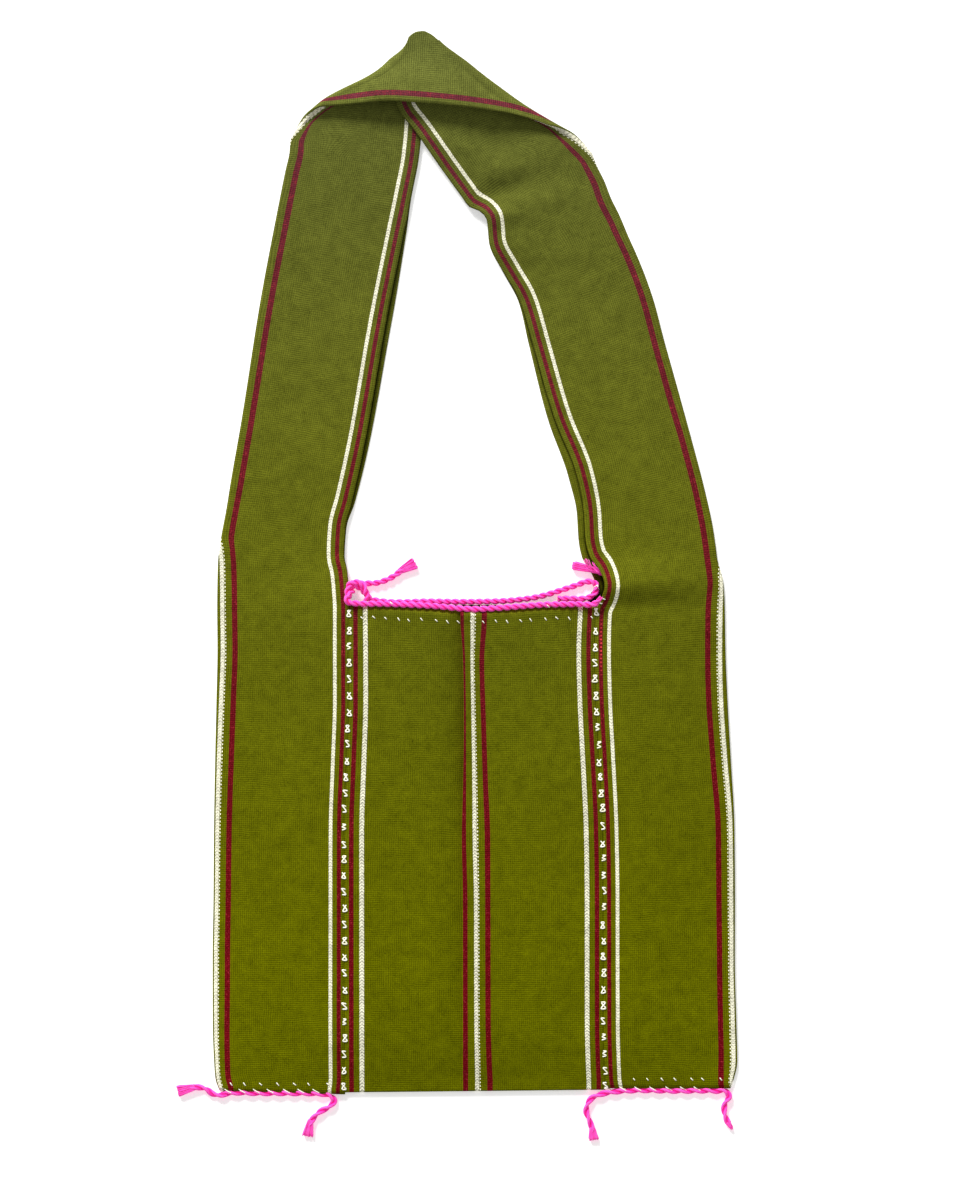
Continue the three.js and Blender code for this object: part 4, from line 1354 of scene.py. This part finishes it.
# A whip stitch from the cloth over the cord, from the cord's centre line, and how unevenly it is placed, in
# millimetres.
WHIP_STITCH = [(-2.3, 2.7), (-1.0, 1.8), (0.6, 1.0), (2.0, 0.2)]
WHIP_SHIFT = 0.5
WHIP_PITCH = 9.0
WHIP_THREAD = 0.31 * MM
CORD_LEVELS = (-0.2 * MM, 0.16 * MM)
# Short stitches that hold the mouth cords: where each starts and ends, in millimetres.
CORD_STITCHES = [
    ((70.6, -14.8), (74.0, -13.2)), ((73.4, -13.0), (74.6, -16.2)), ((74.0, -24.0), (76.4, -24.4)),
    ((75.8, -21.2), (78.2, -21.9)), ((2.2, -24.6), (3.8, -26.2)), ((8.8, -23.6), (10.2, -25.2)),
    ((43.0, -25.0), (44.6, -26.6)), ((-50.8, -23.4), (-49.2, -24.8)),
]
CORD_STITCH_SHARES = (0, 0.33, 0.67, 1)


class Surface:
    """Finds how high the highest of some pieces lies at a place."""

    def __init__(self, *pieces):
        self.trees = []
        for piece in pieces:
            corners = [vertex.co for vertex in piece.data.vertices]
            faces = [face.vertices for face in piece.data.polygons]
            self.trees.append(BVHTree.FromPolygons(corners, faces))

    def height(self, x, y):
        hits = [tree.ray_cast(Vector((x, y, ABOVE_ALL)), DOWN)[0] for tree in self.trees]
        return max((hit.z for hit in hits if hit), default=0.0)


def sew(yarns, surface, places, radius, levels):
    """A thread over the places, with its ends at one level from the surface and the rest at another."""
    points = []
    sunk, proud = levels
    for number, (x, y) in enumerate(places):
        at_end = number in (0, len(places) - 1)
        level = surface.height(x, y) + (sunk if at_end else proud)
        points.append((x, y, max(radius, level)))
    yarns.add_thread(points, radius, THREAD_STEP, THREAD_SIDES)


def add_seam_stitches(surface, finish):
    yarns = Yarns()
    for name in ("seam_left", "seam_right"):
        for y in np.linspace(*SEAM_ENDS, SEAM_STITCHES):
            y += chance.normal(0, SEAM_SHIFT[1])
            seam = float(columns_at(BODY, np.array([y]))[name][0, 0])
            x = seam + chance.normal(0, SEAM_SHIFT[0])
            places = []
            for across, up in STITCH_SHAPES[chance.integers(len(STITCH_SHAPES))]:
                to_x = x + (across + chance.normal(0, SEAM_UNEVEN[0])) * SEAM_STITCH[0]
                to_y = y + (up + chance.normal(0, SEAM_UNEVEN[1])) * SEAM_STITCH[1]
                places.append((to_x, to_y))
            sew(yarns, surface, places, SEAM_THREAD, SEAM_LEVELS)
    yarns.piece("seam_stitches", finish)


def add_hem_stitches(surface, finish):
    yarns = Yarns()

    def slanted(x, y):
        width, height = (size * chance.uniform(*HEM_UNEVEN) for size in HEM_STITCH)
        places = [(x + share * width, y - share * height) for share in HEM_SHARES]
        sew(yarns, surface, places, HEM_THREAD, HEM_LEVELS)

    for x in np.arange(*MOUTH_HEM, HEM_PITCH):
        x += chance.normal(0, MOUTH_HEM_SHIFT[0])
        sag = MOUTH_HEM_SAG * math.cos(x / MOUTH_HEM_SPAN * math.pi) ** 2
        slanted(x, MOUTH_HEM_HEIGHT - sag + chance.normal(0, MOUTH_HEM_SHIFT[1]))
    for first, last, pitch, height in GUSSET_HEMS:
        for x in np.arange(first * MM, last * MM, pitch * MM):
            slanted(x + chance.normal(0, GUSSET_HEM_SHIFT), height * MM)
    yarns.piece("hem_stitches", finish)


def add_cord_stitches(surface, finish):
    yarns = Yarns()
    for first, last, height in WHIP_RUNS:
        for x in np.arange(first, last, WHIP_PITCH):
            x = x + chance.normal(0, WHIP_SHIFT)
            places = [((x + across) * MM, (height + up) * MM) for across, up in WHIP_STITCH]
            sew(yarns, surface, places, WHIP_THREAD, CORD_LEVELS)
    for start, end in CORD_STITCHES:
        places = [lerp(np.array(start), np.array(end), share) * MM for share in CORD_STITCH_SHARES]
        sew(yarns, surface, places, HEM_THREAD, CORD_LEVELS)
    yarns.piece("cord_stitches", finish)


# Floor and light

FLOOR_SIZE = 12.0
FLOOR_DROP = 0.1 * MM
SKY_WHITE = (1, 1, 1, 1)
SKY_STRENGTH = 0.45
WINDOW_PLACE = (-3.8, 9.0, 5.8)
WINDOW_SIZE = 3.8
WINDOW_POWER = 1720
WINDOW_COLOUR = (1.0, 0.99, 0.97)


def add_floor(finish):
    mesh = bpy.data.meshes.new("floor")
    half = FLOOR_SIZE / 2
    corners = [(-half, -half, 0), (half, -half, 0), (half, half, 0), (-half, half, 0)]
    mesh.from_pydata(corners, [], [(0, 1, 2, 3)])
    mesh.materials.append(finish)
    floor = bpy.data.objects.new("floor", mesh)
    floor.location.z = -FLOOR_DROP
    scene.collection.objects.link(floor)


def add_light():
    """Even light from all round, and a large window high up beyond the crown."""
    world = bpy.data.worlds.new("studio")
    world.use_nodes = True
    sky = world.node_tree.nodes["Background"]
    sky.inputs["Color"].default_value = SKY_WHITE
    sky.inputs["Strength"].default_value = SKY_STRENGTH
    scene.world = world
    lamp = bpy.data.lights.new("window", "AREA")
    lamp.shape = "DISK"
    lamp.size = WINDOW_SIZE
    lamp.energy = WINDOW_POWER
    lamp.color = WINDOW_COLOUR
    window = bpy.data.objects.new("window", lamp)
    window.location = WINDOW_PLACE
    window.rotation_euler = (-Vector(WINDOW_PLACE)).to_track_quat("-Z", "Y").to_euler()
    scene.collection.objects.link(window)
    scene.view_settings.view_transform = "Standard"


fibre = cotton_fibre_group()
weave = plain_weave_group()
pink_cotton = spun_yarn(
    "pink_cotton", PINK, PINK_SHADED, fibre, strands=4, turns=180, sheen=0.15, painted_glow=0.12,
)
white_thread = spun_yarn(
    "white_thread", THREAD_WHITE, NATURAL_WHITE, fibre, strands=2, turns=900, sheen=0.1, painted_glow=0.10,
)
panel_cotton = striped_cotton("panel_cotton", PANEL_WARP, PANEL_PLAIT_GAP, fibre, weave)
strap_cotton = striped_cotton("strap_cotton", STRAP_WARP, STRAP_PLAIT_GAP, fibre, weave)

add_camera()
cords = add_cords(pink_cotton)
panel, strap = add_cloth(panel_cotton, strap_cotton)
cloth_surface = Surface(panel, strap)
add_seam_stitches(cloth_surface, white_thread)
add_hem_stitches(cloth_surface, white_thread)
add_cord_stitches(Surface(panel, strap, *cords), white_thread)
add_floor(plain_floor())
add_light()
